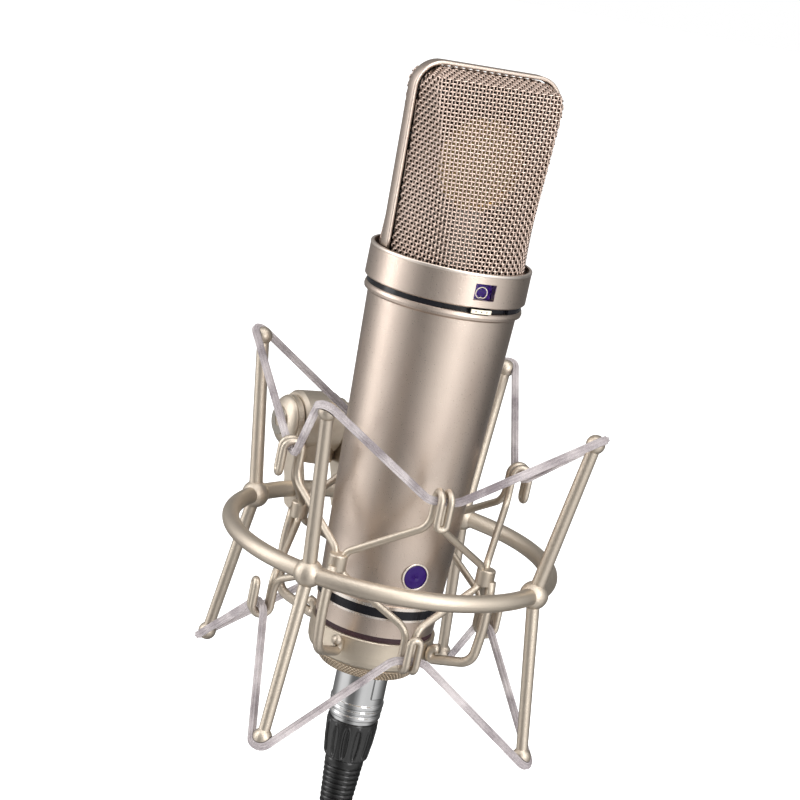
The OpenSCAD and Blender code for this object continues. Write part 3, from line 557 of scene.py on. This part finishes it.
# Brighter overhead, darker underneath
height = wnode("ShaderNodeMapRange")
for key, value in (("From Min", -0.5), ("From Max", 0.95), ("To Min", 0.75), ("To Max", 1.35)):
    height.inputs[key].default_value = value
world_tree.links.new(split.outputs["Z"], height.inputs["Value"])
total = wnode("ShaderNodeMath", operation="MULTIPLY")
world_tree.links.new(double.outputs[0], total.inputs[0])
world_tree.links.new(height.outputs["Result"], total.inputs[1])
glossy = wnode("ShaderNodeBackground")
world_tree.links.new(total.outputs[0], glossy.inputs["Strength"])
even = wnode("ShaderNodeBackground")
even.inputs["Color"].default_value = (1, 1, 1, 1)
even.inputs["Strength"].default_value = 1.0
rays = wnode("ShaderNodeLightPath")
pick = wnode("ShaderNodeMixShader")
world_tree.links.new(rays.outputs["Is Glossy Ray"], pick.inputs["Fac"])
world_tree.links.new(even.outputs[0], pick.inputs[1])
world_tree.links.new(glossy.outputs[0], pick.inputs[2])
out = wnode("ShaderNodeOutputWorld")
world_tree.links.new(pick.outputs[0], out.inputs["Surface"])


def area_light(name, angle_deg, elevation, distance, size, power):
    light = bpy.data.lights.new(name, "AREA")
    light.shape = "RECTANGLE"
    light.size, light.size_y = size
    light.energy = power
    obj = bpy.data.objects.new(name, light)
    bpy.context.scene.collection.objects.link(obj)
    a, e = AZ + math.radians(angle_deg), math.radians(elevation)
    aim = Vector(place((0, 0, 80)))
    toward = Vector((math.sin(a) * math.cos(e), -math.cos(a) * math.cos(e), math.sin(e)))
    obj.location = aim + toward * distance
    obj.rotation_euler = toward.to_track_quat("Z", "Y").to_euler()
    return obj


area_light("soft_left", -85, 15, 1.3, (0.5, 1.4), 6)
area_light("soft_right", 38, 20, 1.4, (0.5, 1.4), 9)
area_light("soft_top", 10, 75, 1.3, (0.9, 0.9), 5)

# ---------- Carried-over CAD nodes ----------
KEPT = (
    (SATIN, "head_ring", "shoulder_ring", "body_tube", "base_section"),
    (RIM, "trim_rings"),
    (BLACK_GLOSS, "base_band", "groove_strip", "pattern_switch"),
    (GLASS, "indicator_window"),
    (VIOLET, "pattern_drum"),
    (CREAM, "pad_switch", "low_cut_switch"),
    (WASHER, "cup_washer"),
    (MOUNT_CUP, "basket_cup"),
    (COLLAR, "threaded_collar"),
    (INSULATOR, "head_plate"),
    (IVORY, "capsule_saddle"),
    (BRASS, "capsule_backplate", "capsule_rings"),
    (GOLD, "front_diaphragm", "rear_diaphragm"),
    (SCREWS, "capsule_screws", "chassis_screws", "nut_retainer"),
    (CHASSIS, "chassis_rails"),
    (BOARD, "circuit_boards"),
    (CAN, "transformer"),
    (INSERT, "socket_insert", "plug_insert", "end_plug_insert"),
    (PINS, "socket_pins", "plug_contacts"),
    (MOUNT, "swivel_block", "bracket_arms", "outer_ring", "upper_posts", "lower_posts"),
    (KNOB, "pivot_bolt", "clamp_knob"),
)
for mat, *names in KEPT:
    for name in names:
        paint(nodes[name], mat)

# ---------- Woven grille ----------
HEAD_TOP, CORNER_R, BEZEL_W, BEZEL_T = 200.0, 10.0, 5.0, 1.4
BEZEL_LOW, BEZEL_HIGH = 26.4, 28.3
GRILLE_FOOT, BEVEL_Z = 133.0, 195.0
CORNER_Z = HEAD_TOP - CORNER_R
DEPTH_LOW, DEPTH_HIGH, SAG = 26.2, 10.8, 1.286
FOLD_LOW, FOLD_HIGH, FLATNESS = 0.45, 0.07, 0.65
GRILLE_TOP = HEAD_TOP - BEZEL_T - 0.1
PITCH_X, PITCH_Z = 1.38, 1.35
WIRE_R = 0.325
WEAVE = 0.30
INSET = WIRE_R + WEAVE
# The least distance of the weave and of the gauze from the head's middle plane
WEAVE_BACK, GAUZE_BACK = 0.9, 0.4


def half_inside(z, t):
    """Half width inside an edge that runs t inside the bezel's outline."""
    w = BEZEL_LOW + (BEZEL_HIGH - BEZEL_LOW) * min(1, (z - GRILLE_FOOT) / (CORNER_Z - GRILLE_FOOT)) - t
    if z > CORNER_Z:
        w -= CORNER_R - t - math.sqrt(max(0, (CORNER_R - t) ** 2 - (z - CORNER_Z) ** 2))
    return w


def grille_deep(z):
    if z < BEVEL_Z:
        s = max(0, z - GRILLE_FOOT) / (BEVEL_Z - GRILLE_FOOT)
        return DEPTH_LOW + (DEPTH_HIGH - DEPTH_LOW) * s ** SAG
    t = min(1, (z - BEVEL_Z) / (GRILLE_TOP - BEVEL_Z))
    return DEPTH_HIGH + (BEZEL_W / 2 - DEPTH_HIGH) * t


def grille_depth(t, z):
    s = min(1, (z - GRILLE_FOOT) / (BEVEL_Z - GRILLE_FOOT))
    flat = min(1, (1 - abs(t)) / (FOLD_LOW + (FOLD_HIGH - FOLD_LOW) * s))
    weight = s ** FLATNESS
    form = (1 - weight) * math.sqrt(max(0, 1 - t * t)) + weight * flat
    return BEZEL_W / 2 + (grille_deep(z) - BEZEL_W / 2) * form


def grille_section(z):
    """The grille's outline at height z, with the distance along it from the middle."""
    half = half_inside(z, BEZEL_T + 0.1 + INSET)
    t = np.sin(np.linspace(-math.pi / 2, math.pi / 2, 241))
    pts = np.array([[half * q, -max(grille_depth(q, z) - INSET, WEAVE_BACK)] for q in t])
    along = np.r_[0, np.cumsum(np.linalg.norm(np.diff(pts, axis=0), axis=1))]
    return pts, along - along[-1] / 2


# Rows down the front of the grille, half a pitch apart along its profile
zs = np.linspace(GRILLE_FOOT + 0.5, GRILLE_TOP - 0.6, 400)
prof = np.array([[-grille_depth(0, z), z] for z in zs])
climb = np.r_[0, np.cumsum(np.linalg.norm(np.diff(prof, axis=0), axis=1))]
n_rows = int(climb[-1] / (PITCH_Z / 2))
row_z = np.interp(np.arange(n_rows + 1) * PITCH_Z / 2, climb, zs)
sections = [grille_section(z) for z in row_z]


def weave_parts(turn):
    """Wires of one half of the grille. Every crossing lies on an even row and an even column."""
    reach = max(s[1][-1] for s in sections)
    n_cols = int(reach / (PITCH_X / 2)) + 1
    cols = np.arange(-n_cols, n_cols + 1)
    grid = np.full((len(row_z), len(cols), 3), np.nan)
    for i, (pts, along) in enumerate(sections):
        s = cols * PITCH_X / 2
        inside = np.abs(s) <= along[-1]
        grid[i, inside, 0] = np.interp(s[inside], along, pts[:, 0])
        grid[i, inside, 1] = np.interp(s[inside], along, pts[:, 1])
        grid[i, inside, 2] = row_z[i]
    du = np.gradient(grid, axis=1)
    dv = np.gradient(grid, axis=0)
    out_dir = np.cross(du, dv)
    length = np.linalg.norm(out_dir, axis=2)
    good = np.isfinite(length) & (length > 1e-9)
    out_dir[good] /= length[good][:, None]
    out_dir[~good] = 0
    parts = []

    def strand(points):
        if len(points) >= 4:
            parts.append(tube_parts(turned(points, turn), WIRE_R, 6, first=(0.3, 0.2, 1)))

    for c in range(0, len(cols), 2):
        run = []
        for i in range(len(row_z)):
            p = grid[i, c]
            if np.isfinite(p).all():
                wave = math.cos(math.pi * (i / 2 + cols[c] / 2))
                run.append(p + out_dir[i, c] * WEAVE * wave)
            elif run:
                break
        strand(run)
    for i in range(0, len(row_z), 2):
        run = []
        for c in range(len(cols)):
            p = grid[i, c]
            if np.isfinite(p).all():
                wave = -math.cos(math.pi * (i / 2 + cols[c] / 2))
                run.append(p + out_dir[i, c] * WEAVE * wave)
        strand(run)
    return parts


piece(joined("front_grille_weave", weave_parts(0)), WIRE, "grille_wire", "microphone", "front_grille")
piece(joined("rear_grille_weave", weave_parts(180)), WIRE, "grille_wire", "microphone", "rear_grille")


def gauze_parts(turn):
    """The fine gauze just behind the wires of one half of the grille."""
    rows, cols = 70, 61
    t = np.sin(np.linspace(-math.pi / 2, math.pi / 2, cols))
    behind = 2 * INSET + 0.25
    grid = [[half_inside(z, BEZEL_T + 0.3) * q, -max(grille_depth(q, z) - behind, GAUZE_BACK), z]
            for z in np.linspace(GRILLE_FOOT + 0.5, GRILLE_TOP - 1.2, rows) for q in t]
    corners = [i * cols + k for i in range(rows - 1) for k in range(cols - 1)]
    return turned(grid, turn), [[c, c + 1, c + cols + 1, c + cols] for c in corners]


piece(joined("front_gauze", [gauze_parts(0)]), GAUZE_FRONT, "gauze", "microphone", "grille_gauze")
# The rear gauze's near opaque dark stands in for shade inside the head: painted shade
piece(joined("rear_gauze", [gauze_parts(180)]), GAUZE_REAR_PAINTED_SHADE, "gauze", "microphone")


# ---------- Bezel ----------
def bezel_line():
    side = [(half_inside(z, 0), z) for z in np.linspace(GRILLE_FOOT, CORNER_Z, 12)]
    bend = [(BEZEL_HIGH - CORNER_R + CORNER_R * math.cos(a), CORNER_Z + CORNER_R * math.sin(a))
            for a in np.linspace(math.pi / 24, math.pi / 2, 12)]
    rightward = side + bend
    top = [(x, HEAD_TOP) for x in np.linspace(BEZEL_HIGH - CORNER_R, CORNER_R - BEZEL_HIGH, 12)][1:-1]
    return np.array(rightward + top + [(-x, z) for x, z in rightward[::-1]])


def bezel_parts():
    """A strip with rounded edges that follows the line, built from its outer side inwards."""
    line = bezel_line()
    run = np.gradient(line, axis=0)
    run /= np.linalg.norm(run, axis=1)[:, None]
    inward = np.stack([-run[:, 1], run[:, 0]], 1)
    e = 0.35
    half = BEZEL_W / 2
    shape = [(e, -half), (0.1, -half + 0.1), (0, -half + e), (0, half - e), (0.1, half - 0.1), (e, half),
             (BEZEL_T - e, half), (BEZEL_T - 0.1, half - 0.1), (BEZEL_T, half - e), (BEZEL_T, -half + e),
             (BEZEL_T - 0.1, -half + 0.1), (BEZEL_T - e, -half)]
    verts = [[p[0] + q[0] * d, y, p[1] + q[1] * d] for p, q in zip(line, inward) for d, y in shape]
    n, m = len(line), len(shape)
    faces = [[i * m + k, i * m + (k + 1) % m, (i + 1) * m + (k + 1) % m, (i + 1) * m + k]
             for i in range(n - 1) for k in range(m)]
    faces += [list(range(m))[::-1], [(n - 1) * m + k for k in range(m)]]
    return verts, faces


piece(joined("head_bezel", [bezel_parts()]), SATIN, "satin_nickel", "microphone", "grille_bezel")

# The head ring's top edge, just proud of the ring, coloured lighter than the ring's satin: a painted highlight
# along the edge
LIP_IN, LIP_OUT, LIP_LOW, LIP_HIGH = 26.95, 28.1, 134.3, RING_TOP + 0.05
lip = rounded_profile([
    (LIP_IN, LIP_LOW), (LIP_OUT, LIP_LOW), (LIP_OUT, LIP_HIGH), (LIP_IN, LIP_HIGH)], 0.5, 5)
piece(joined("head_ring_lip", [lathe_parts(lip, 192)]), LIP_HIGHLIGHT, "satin_nickel", "microphone")

# ---------- Indicator outline, switch tab and badge ----------
WINDOW_Z, DRUM_R = 129.3, 25.4
# A cardioid on the drum, sunk so that it clears the head ring
OUTLINE_SIZE, OUTLINE_X, OUTLINE_DROP, OUTLINE_R = 1.65, 0.05, 2.06, 0.22
SUNK = (DRUM_R - 0.14) / DRUM_R
outline = []
for k in range(64):
    a = 2 * math.pi * k / 64
    r = OUTLINE_SIZE * (1 + math.cos(a))
    x, z = r * math.sin(a) + OUTLINE_X, WINDOW_Z - OUTLINE_DROP + r * math.cos(a)
    outline.append([x * SUNK, -math.sqrt(DRUM_R ** 2 - x * x) * SUNK, z])
piece(joined("pattern_outline", [tube_parts(outline, OUTLINE_R, 10, closed=True, first=(0, 1, 0))]),
      CREAM, "satin_nickel", "pattern_slider")


def arc_box(r_in, r_out, low, high, middle, half, steps=12, edge=0.15):
    """A curved block with softened outer edges."""
    prof = rounded_profile([(r_in, low), (r_out, low), (r_out, high), (r_in, high)], edge, 2)
    ang = np.radians(np.linspace(middle - half, middle + half, steps + 1))
    verts = [[r * math.cos(a), r * math.sin(a), z] for a in ang for r, z in prof]
    m = len(prof)
    faces = [[i * m + k, (i + 1) * m + k, (i + 1) * m + (k + 1) % m, i * m + (k + 1) % m]
             for i in range(steps) for k in range(m)]
    faces += [list(range(m)), [steps * m + k for k in range(m)][::-1]]
    return verts, faces


piece(joined("switch_tab_face", [arc_box(27.0, 28.25, 121.96, 123.44, -90, 7.8)]), CREAM, "bright_trim",
      "pattern_slider")
dots = []
for k in (-1, 0, 1):
    v, f = lathe_parts([(0.001, 0.04), (0.22, 0.04), (0.26, -0.15), (0.001, -0.15)], 20)
    v = np.asarray(v) @ np.array([[1, 0, 0], [0, 0, 1], [0, -1, 0]])
    dots.append((turned(v + np.array([0, -28.25, 122.7]), 4.2 * k), f))
piece(joined("switch_tab_dots", dots), BLACK_GLOSS, "black_gloss", "pattern_slider")


def disc_on_front(profile, z, steps=64):
    """A turned disc that faces -Y, with its profile as (radius, distance out)."""
    v, f = lathe_parts(profile, steps)
    v = np.asarray(v)
    return np.stack([v[:, 0], -v[:, 2], v[:, 1] + z], 1), f


BADGE_Z, BADGE_AT = 26.4, 22.353
piece(joined("badge_rim", [disc_on_front(rounded_profile(
    [(4.3, BADGE_AT - 0.5), (4.95, BADGE_AT - 0.5), (4.95, BADGE_AT + 0.48), (4.3, BADGE_AT + 0.48)], 0.15),
    BADGE_Z)]), RIM, "bright_trim", "microphone")
piece(joined("badge_enamel", [disc_on_front(
    [(0.001, BADGE_AT + 0.45), (2.2, BADGE_AT + 0.40), (3.6, BADGE_AT + 0.30), (4.32, BADGE_AT + 0.15),
     (4.32, BADGE_AT - 0.5), (0.001, BADGE_AT - 0.5)], BADGE_Z)]),
      VIOLET, "violet_badge", "microphone", "badge")

# ---------- Basket wires ----------
# Radii: the hairpins, the room left for an elastic, and the elastic as drawn
WIRE_MM, ELASTIC_MM, CORD_MM = 1.3, 1.6, 1.25
HOOK_R, UPPER_HOOK_Z, LOWER_HOOK_Z = 42.3, 60.5, 3.3
POST_ANGLE = -54
HOOK_ANGLE = POST_ANGLE + 45
PAIR_AT, PAIR_GAP, SLEEVE_Z, SLEEVE_HALF = 36.9, 1.7, 30.7, 3
SLEEVE_R, SLEEVE_AT, STEM_AT = 3.3, 38, 40.6
GAP = 0.3
HOOK_LEG = ELASTIC_MM + GAP + WIRE_MM
OUTER_LEG = 12
CUP_R = 22.3


def hook_wire(z, way):
    top, low_leg = z + way * HOOK_LEG, z - way * 10
    turn = 45 - math.degrees(math.atan(PAIR_GAP / PAIR_AT))
    in_r, out_r = HOOK_R - HOOK_LEG, HOOK_R + HOOK_LEG
    half = [polar(-turn, PAIR_AT, SLEEVE_Z + way),
            polar(-turn, PAIR_AT, SLEEVE_Z + way * (SLEEVE_HALF + 0.8)),
            np.array([in_r, -PAIR_GAP, low_leg]), np.array([in_r, -PAIR_GAP, top]),
            np.array([out_r, -PAIR_GAP, top]), np.array([out_r, -PAIR_GAP, top - way * OUTER_LEG])]
    return half + [p * np.array([1, -1, 1]) for p in half[::-1]]


HOOK_CUTS = [0, 2.2, 4, HOOK_LEG, HOOK_LEG, PAIR_GAP, PAIR_GAP, HOOK_LEG, HOOK_LEG, 4, 2.2, 0]


def hook_parts(z, way):
    path = rounded(hook_wire(z, way), HOOK_CUTS, 10)
    return [tube_parts(turned(path, HOOK_ANGLE + 90 * k), WIRE_MM, 16, first=(1, 0.1, 0)) for k in range(4)]


piece(joined("upper_hairpins", hook_parts(UPPER_HOOK_Z, 1)),
      MOUNT, "mount_satin", "basket", "upper_lattice")
piece(joined("lower_hairpins", hook_parts(LOWER_HOOK_Z, -1)),
      MOUNT, "mount_satin", "basket", "lower_lattice")

sleeve = rounded_profile([(0.001, -SLEEVE_HALF), (SLEEVE_R, -SLEEVE_HALF), (SLEEVE_R, SLEEVE_HALF),
                          (0.001, SLEEVE_HALF)], 0.7, 4)
sleeves = []
for k in range(4):
    v, f = lathe_parts(sleeve, 48)
    sleeves.append((np.asarray(v) + polar(POST_ANGLE + 90 * k, SLEEVE_AT, SLEEVE_Z), f))
piece(joined("wire_sleeves", sleeves), MOUNT, "mount_satin", "basket", "lattice_sleeves")

# Each cup wire comes down from its sleeve, turns in to the cup and ends in a tight hook
CUP_WIRE_MM, CURL = 1.75, 1.85
CUP_IN = CUP_R + CUP_WIRE_MM - 0.1
CUP_WIRE = [(STEM_AT, 0, SLEEVE_Z - 1), (STEM_AT + 1.2, 0, 16), (STEM_AT - 0.6, 0, -0.8), (CUP_IN, 0, -5),
            (CUP_IN, 0, -1), (CUP_IN + 3, 0, 0)]
cup_path = rounded(CUP_WIRE, [0, 8, 4.5, CURL, CURL, 0], 10)
cup_stems = [tube_parts(turned(cup_path, POST_ANGLE + 90 * k), CUP_WIRE_MM, 20, first=(1, 0.1, 0))
             for k in range(4)]
piece(joined("cup_stems", cup_stems), MOUNT, "mount_satin", "basket", "cup_wires")

# ---------- Elastics ----------
UNDER_HOOK, WRAP_R, WRAP_REACH = 5.2, 3.7, 4.4
UPPER_TIP, LOWER_TIP = (69.2, 90), (68.6, -28.6)


def elastic_path(tip, z):
    hook_x, hook_y = (HOOK_R + UNDER_HOOK) / math.sqrt(2), (HOOK_R - UNDER_HOOK) / math.sqrt(2)
    run = np.array([tip[0] - hook_x, tip[1] - z])
    half = math.atan(hook_y / (np.linalg.norm(run) + WRAP_REACH))
    top = np.array(tip) + unit(run) * (WRAP_R / math.sin(half) - WRAP_R)
    corners, cuts = [], []
    for k in range(4):
        a = HOOK_ANGLE + 90 * k
        tangent = np.array([-math.sin(math.radians(a)), math.cos(math.radians(a)), 0])
        corners += [polar(a, HOOK_R, z) - tangent * UNDER_HOOK, polar(a, HOOK_R, z) + tangent * UNDER_HOOK,
                    polar(a + 45, top[0], top[1])]
        cuts += [2.4, 2.4, WRAP_R / math.tan(half)]
    n = len(corners)
    out = []
    for i in range(n):
        out += corner(corners[i - 1], corners[i], corners[(i + 1) % n], cuts[i], 8)
    out.append(out[0])
    return spread(np.array(out), 1.5)[:-1]


for name, tip, z, node in (("upper_elastic_cord", UPPER_TIP, UPPER_HOOK_Z, "upper_elastic"),
                           ("lower_elastic_cord", LOWER_TIP, LOWER_HOOK_Z, "lower_elastic")):
    cord = joined(name, [tube_parts(elastic_path(tip, z), CORD_MM, 56, closed=True, first=(0, 0, 1),
                                    ripple=(7, 0.15))])
    paint(cord, ELASTIC)
    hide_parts(node)
    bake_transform(cord)

# ---------- Swivel eye ----------
# A low dome around the bolt's head, with a short stem under it
PIVOT_ANGLE, PIVOT_AT, PIVOT_Z = 94, 70, 52.5
EYE_R, EYE_FACE, EYE_TOP, STEM_R, STEM_LEN = 9.4, 11.25, 14.75, 2.9, 4


def dome_parts():
    rise = EYE_TOP - EYE_FACE
    cap = [(EYE_R * math.cos(t), EYE_FACE + rise * math.sin(t)) for t in np.linspace(0, 1.55, 20)]
    stem = [(0.001, EYE_FACE - STEM_LEN), (STEM_R, EYE_FACE - STEM_LEN), (STEM_R, EYE_FACE)]
    verts, faces = lathe_parts(stem + cap + [(0.001, EYE_TOP)], 72)
    verts = np.asarray(verts) @ np.array([[1, 0, 0], [0, 0, 1], [0, 1, 0]])
    return turned(verts, PIVOT_ANGLE) + polar(PIVOT_ANGLE, PIVOT_AT, PIVOT_Z), [f[::-1] for f in faces]


piece(joined("pivot_dome", [dome_parts()]), MOUNT, "mount_satin", "stand_socket")

# ---------- Knurled nut ----------
NUT_FOOT, CUP_FOOT, NUT_BORE, COLLAR_FOOT = -14.8, -10.2, 13.05, -9.0
KNURLS = 84


def knurl(a, z, r):
    if not (NUT_FOOT + 0.35 < z < CUP_FOOT - 0.7 and r > 16.2):
        return 0.0
    u = KNURLS * a / 2
    v = (z - NUT_FOOT) * 2.3
    p, q = math.sin(u + v), math.sin(u - v)
    return -0.55 * max(0.0, 1 - 1.5 * min(abs(p), abs(q)))


skirt = [(16.3 + (19.7 - 16.3) * min(1, t * 1.05) ** 0.8, NUT_FOOT + (CUP_FOOT - GAP - NUT_FOOT) * t)
         for t in np.linspace(0, 1, 44)]
nut_profile = [(10, NUT_FOOT), (16.0, NUT_FOOT)] + skirt + [
    (15.1, CUP_FOOT - GAP), (15.1, -2), (NUT_BORE, -2), (NUT_BORE, COLLAR_FOOT - GAP),
    (10, COLLAR_FOOT - GAP)]
piece(joined("knurled_ring_nut", [lathe_parts(nut_profile, 720, radial=knurl)]), NUT, "nut_satin", "nut",
      "knurled_nut")

# ---------- Plug ----------
CORE_R, SHELL_R, SHELL_FOOT, SHELL_TOP = 8.3, 9.35, -36.0, 7.5
shell_profile = rounded_profile([
    (CORE_R, SHELL_FOOT), (8.6, SHELL_FOOT), (8.6, -34.6), (9.45, -34.1), (9.45, -33.0), (9.1, -32.7),
    (9.1, -32.2),
    (9.5, -31.9), (9.6, -30.9), (9.15, -30.6), (9.15, -30.1), (9.7, -29.7), (9.7, -28.4), (9.3, -28.0),
    (SHELL_R, -27.6), (SHELL_R, SHELL_TOP - 0.4), (SHELL_R - 0.4, SHELL_TOP), (CORE_R, SHELL_TOP)], 0.18, 3)
piece(joined("plug_ring_shell", [lathe_parts(shell_profile, 160)]),
      CHROME, "plug_nickel", "lead_plug", "plug_shell")

LATCH_Z, LATCH_ANGLE, LATCH_HALF, LATCH_WIDE = -21.5, -70, 4.0, 17.5
LATCH_IN, LATCH_OUT = 8.9, 9.95
pad = arc_box(LATCH_IN, LATCH_OUT, LATCH_Z - LATCH_HALF, LATCH_Z + LATCH_HALF,
              LATCH_ANGLE, LATCH_WIDE, 16, 0.45)
piece(joined("latch_pad", [pad], smooth=False), CHROME, "plug_nickel", "latch", "latch_button")

BUSH_FOOT, BOOT_FOOT = -51.0, -82.0
FLUTES, FLUTE_Z, FLUTE_HALF = 13, -43.8, 5.9
BORE_R = 4.4


def flute(a, z, r):
    """Long oval hollows, each with a thin raised rim."""
    if r < 6:
        return 0.0
    u = abs((a * FLUTES / (2 * math.pi)) % 1 - 0.5) / 0.25
    v = (z - FLUTE_Z) / FLUTE_HALF
    d = (u ** 2.4 + abs(v) ** 3.2) ** 0.4
    return -0.80 * max(0.0, 1 - d ** 4) ** 0.5 + 0.16 * math.exp(-((d - 1.12) / 0.09) ** 2)


BUSH_HEIGHTS, BUSH_RADII = (-50.4, -44, -38, -36.6), (7.9, 8.75, 9.15, 9.15)
bush = [(BORE_R, BUSH_FOOT), (7.4, BUSH_FOOT), (7.8, BUSH_FOOT + 0.4)]
bush += [(np.interp(z, BUSH_HEIGHTS, BUSH_RADII), z) for z in np.linspace(-50.1, -36.7, 90)]
bush += [(9.15, -36.2), (9.0, SHELL_FOOT), (BORE_R, SHELL_FOOT)]
piece(joined("plug_fluted_bushing", [lathe_parts(bush, 440, radial=flute)]),
      BUSHING, "plug_black", "lead_plug", "plug_bushing")


LEAD_HOLE = LEAD_R + 0.02
RIB_DEPTH = 1.05


def ribbed(r_start, r_end, length, top_z, ribs=14, collar=3.0):
    """A strain relief's outline: a plain collar, then rounded ribs, from its thick end down."""
    prof = [(LEAD_HOLE, top_z), (r_start - 0.25, top_z), (r_start, top_z - 0.25),
            (r_start, top_z - collar + 0.3)]
    pitch = (length - collar) / ribs
    for k in range(ribs):
        for q in range(1, 17):
            t = (k + q / 16) / ribs
            r = r_start + (r_end - r_start) * t
            bulge = abs(math.sin(math.pi * (q / 16 - 0.12))) ** 0.45
            prof.append((r - RIB_DEPTH * (1 - bulge), top_z - collar - pitch * (k + q / 16)))
    prof.append((LEAD_HOLE, top_z - length))
    return prof[::-1]


plug_boot = ribbed(7.0, 4.9, BUSH_FOOT - BOOT_FOOT, BUSH_FOOT)
piece(joined("plug_ribbed_boot", [lathe_parts(plug_boot, 96)]), BOOT, "boot_rubber", "lead_plug", "plug_boot")

# ---------- End plug and tie ----------
END_AT = np.array([26, 25, -146.0])
TIE_AT, TIE_HALF = -12, 7


def at_end(parts):
    v, f = parts
    return np.asarray(v) + END_AT, f


end_boot = ribbed(6.2, 4.7, 24, 0)
end_boot = [(r, -24 - z) for r, z in end_boot][::-1]
end_bush = rounded_profile([(LEAD_HOLE, -24), (6.8, -24), (8.8, -34), (8.8, -38), (LEAD_HOLE, -38)], 0.4)
end_shell = rounded_profile([
    (7.9, -76), (8.8, -76), (9.1, -75.6), (9.1, -54), (8.8, -53.4), (8.8, -52), (9.1, -51.4), (9.1, -40),
    (8.6, -38), (7.9, -38)], 0.2)
end_boot_piece = piece(joined("end_plug_ribbed_boot", [at_end(lathe_parts(end_boot, 96)),
                                                       at_end(lathe_parts(end_bush, 96))]),
                       BOOT, "boot_rubber", "lead_plug", "end_plug_boot")
end_shell_piece = piece(joined("end_plug_barrel", [at_end(lathe_parts(end_shell, 128))]),
                        CHROME, "plug_nickel", "lead_plug", "end_plug_shell")


def tie_parts():
    """A strap with rounded corners round the coil's turns."""
    low, high, t = np.array([-15.4, -225.0]), np.array([15.4, -192.5]), 1.2
    rows = []
    for grow in (0, t):
        a, b, r = low - grow, high + grow, 1.2 + grow
        pts = []
        for cy, cz, start in ((b[0] - r, b[1] - r, 0), (a[0] + r, b[1] - r, 90), (a[0] + r, a[1] + r, 180),
                              (b[0] - r, a[1] + r, 270)):
            for k in range(7):
                g = math.radians(start + 15 * k)
                pts.append((cy + r * math.cos(g), cz + r * math.sin(g)))
        rows.append(pts)
    m = len(rows[0])
    x0, x1 = TIE_AT - TIE_HALF, TIE_AT + TIE_HALF
    verts = [(x, y, z) for x in (x0, x1) for row in rows for y, z in row]
    faces = []
    for k in range(m):
        n = (k + 1) % m
        ia, ib, oa, ob = k, n, m + k, m + n
        ja, jb, qa, qb = 2 * m + k, 2 * m + n, 3 * m + k, 3 * m + n
        faces += [[ia, oa, ob, ib], [ja, jb, qb, qa], [oa, qa, qb, ob], [ia, ib, jb, ja]]
    return verts, faces


tie_piece = piece(joined("coil_strap", [tie_parts()], smooth=False),
                  TIE, "tie_fabric", "lead_plug", "coil_tie")
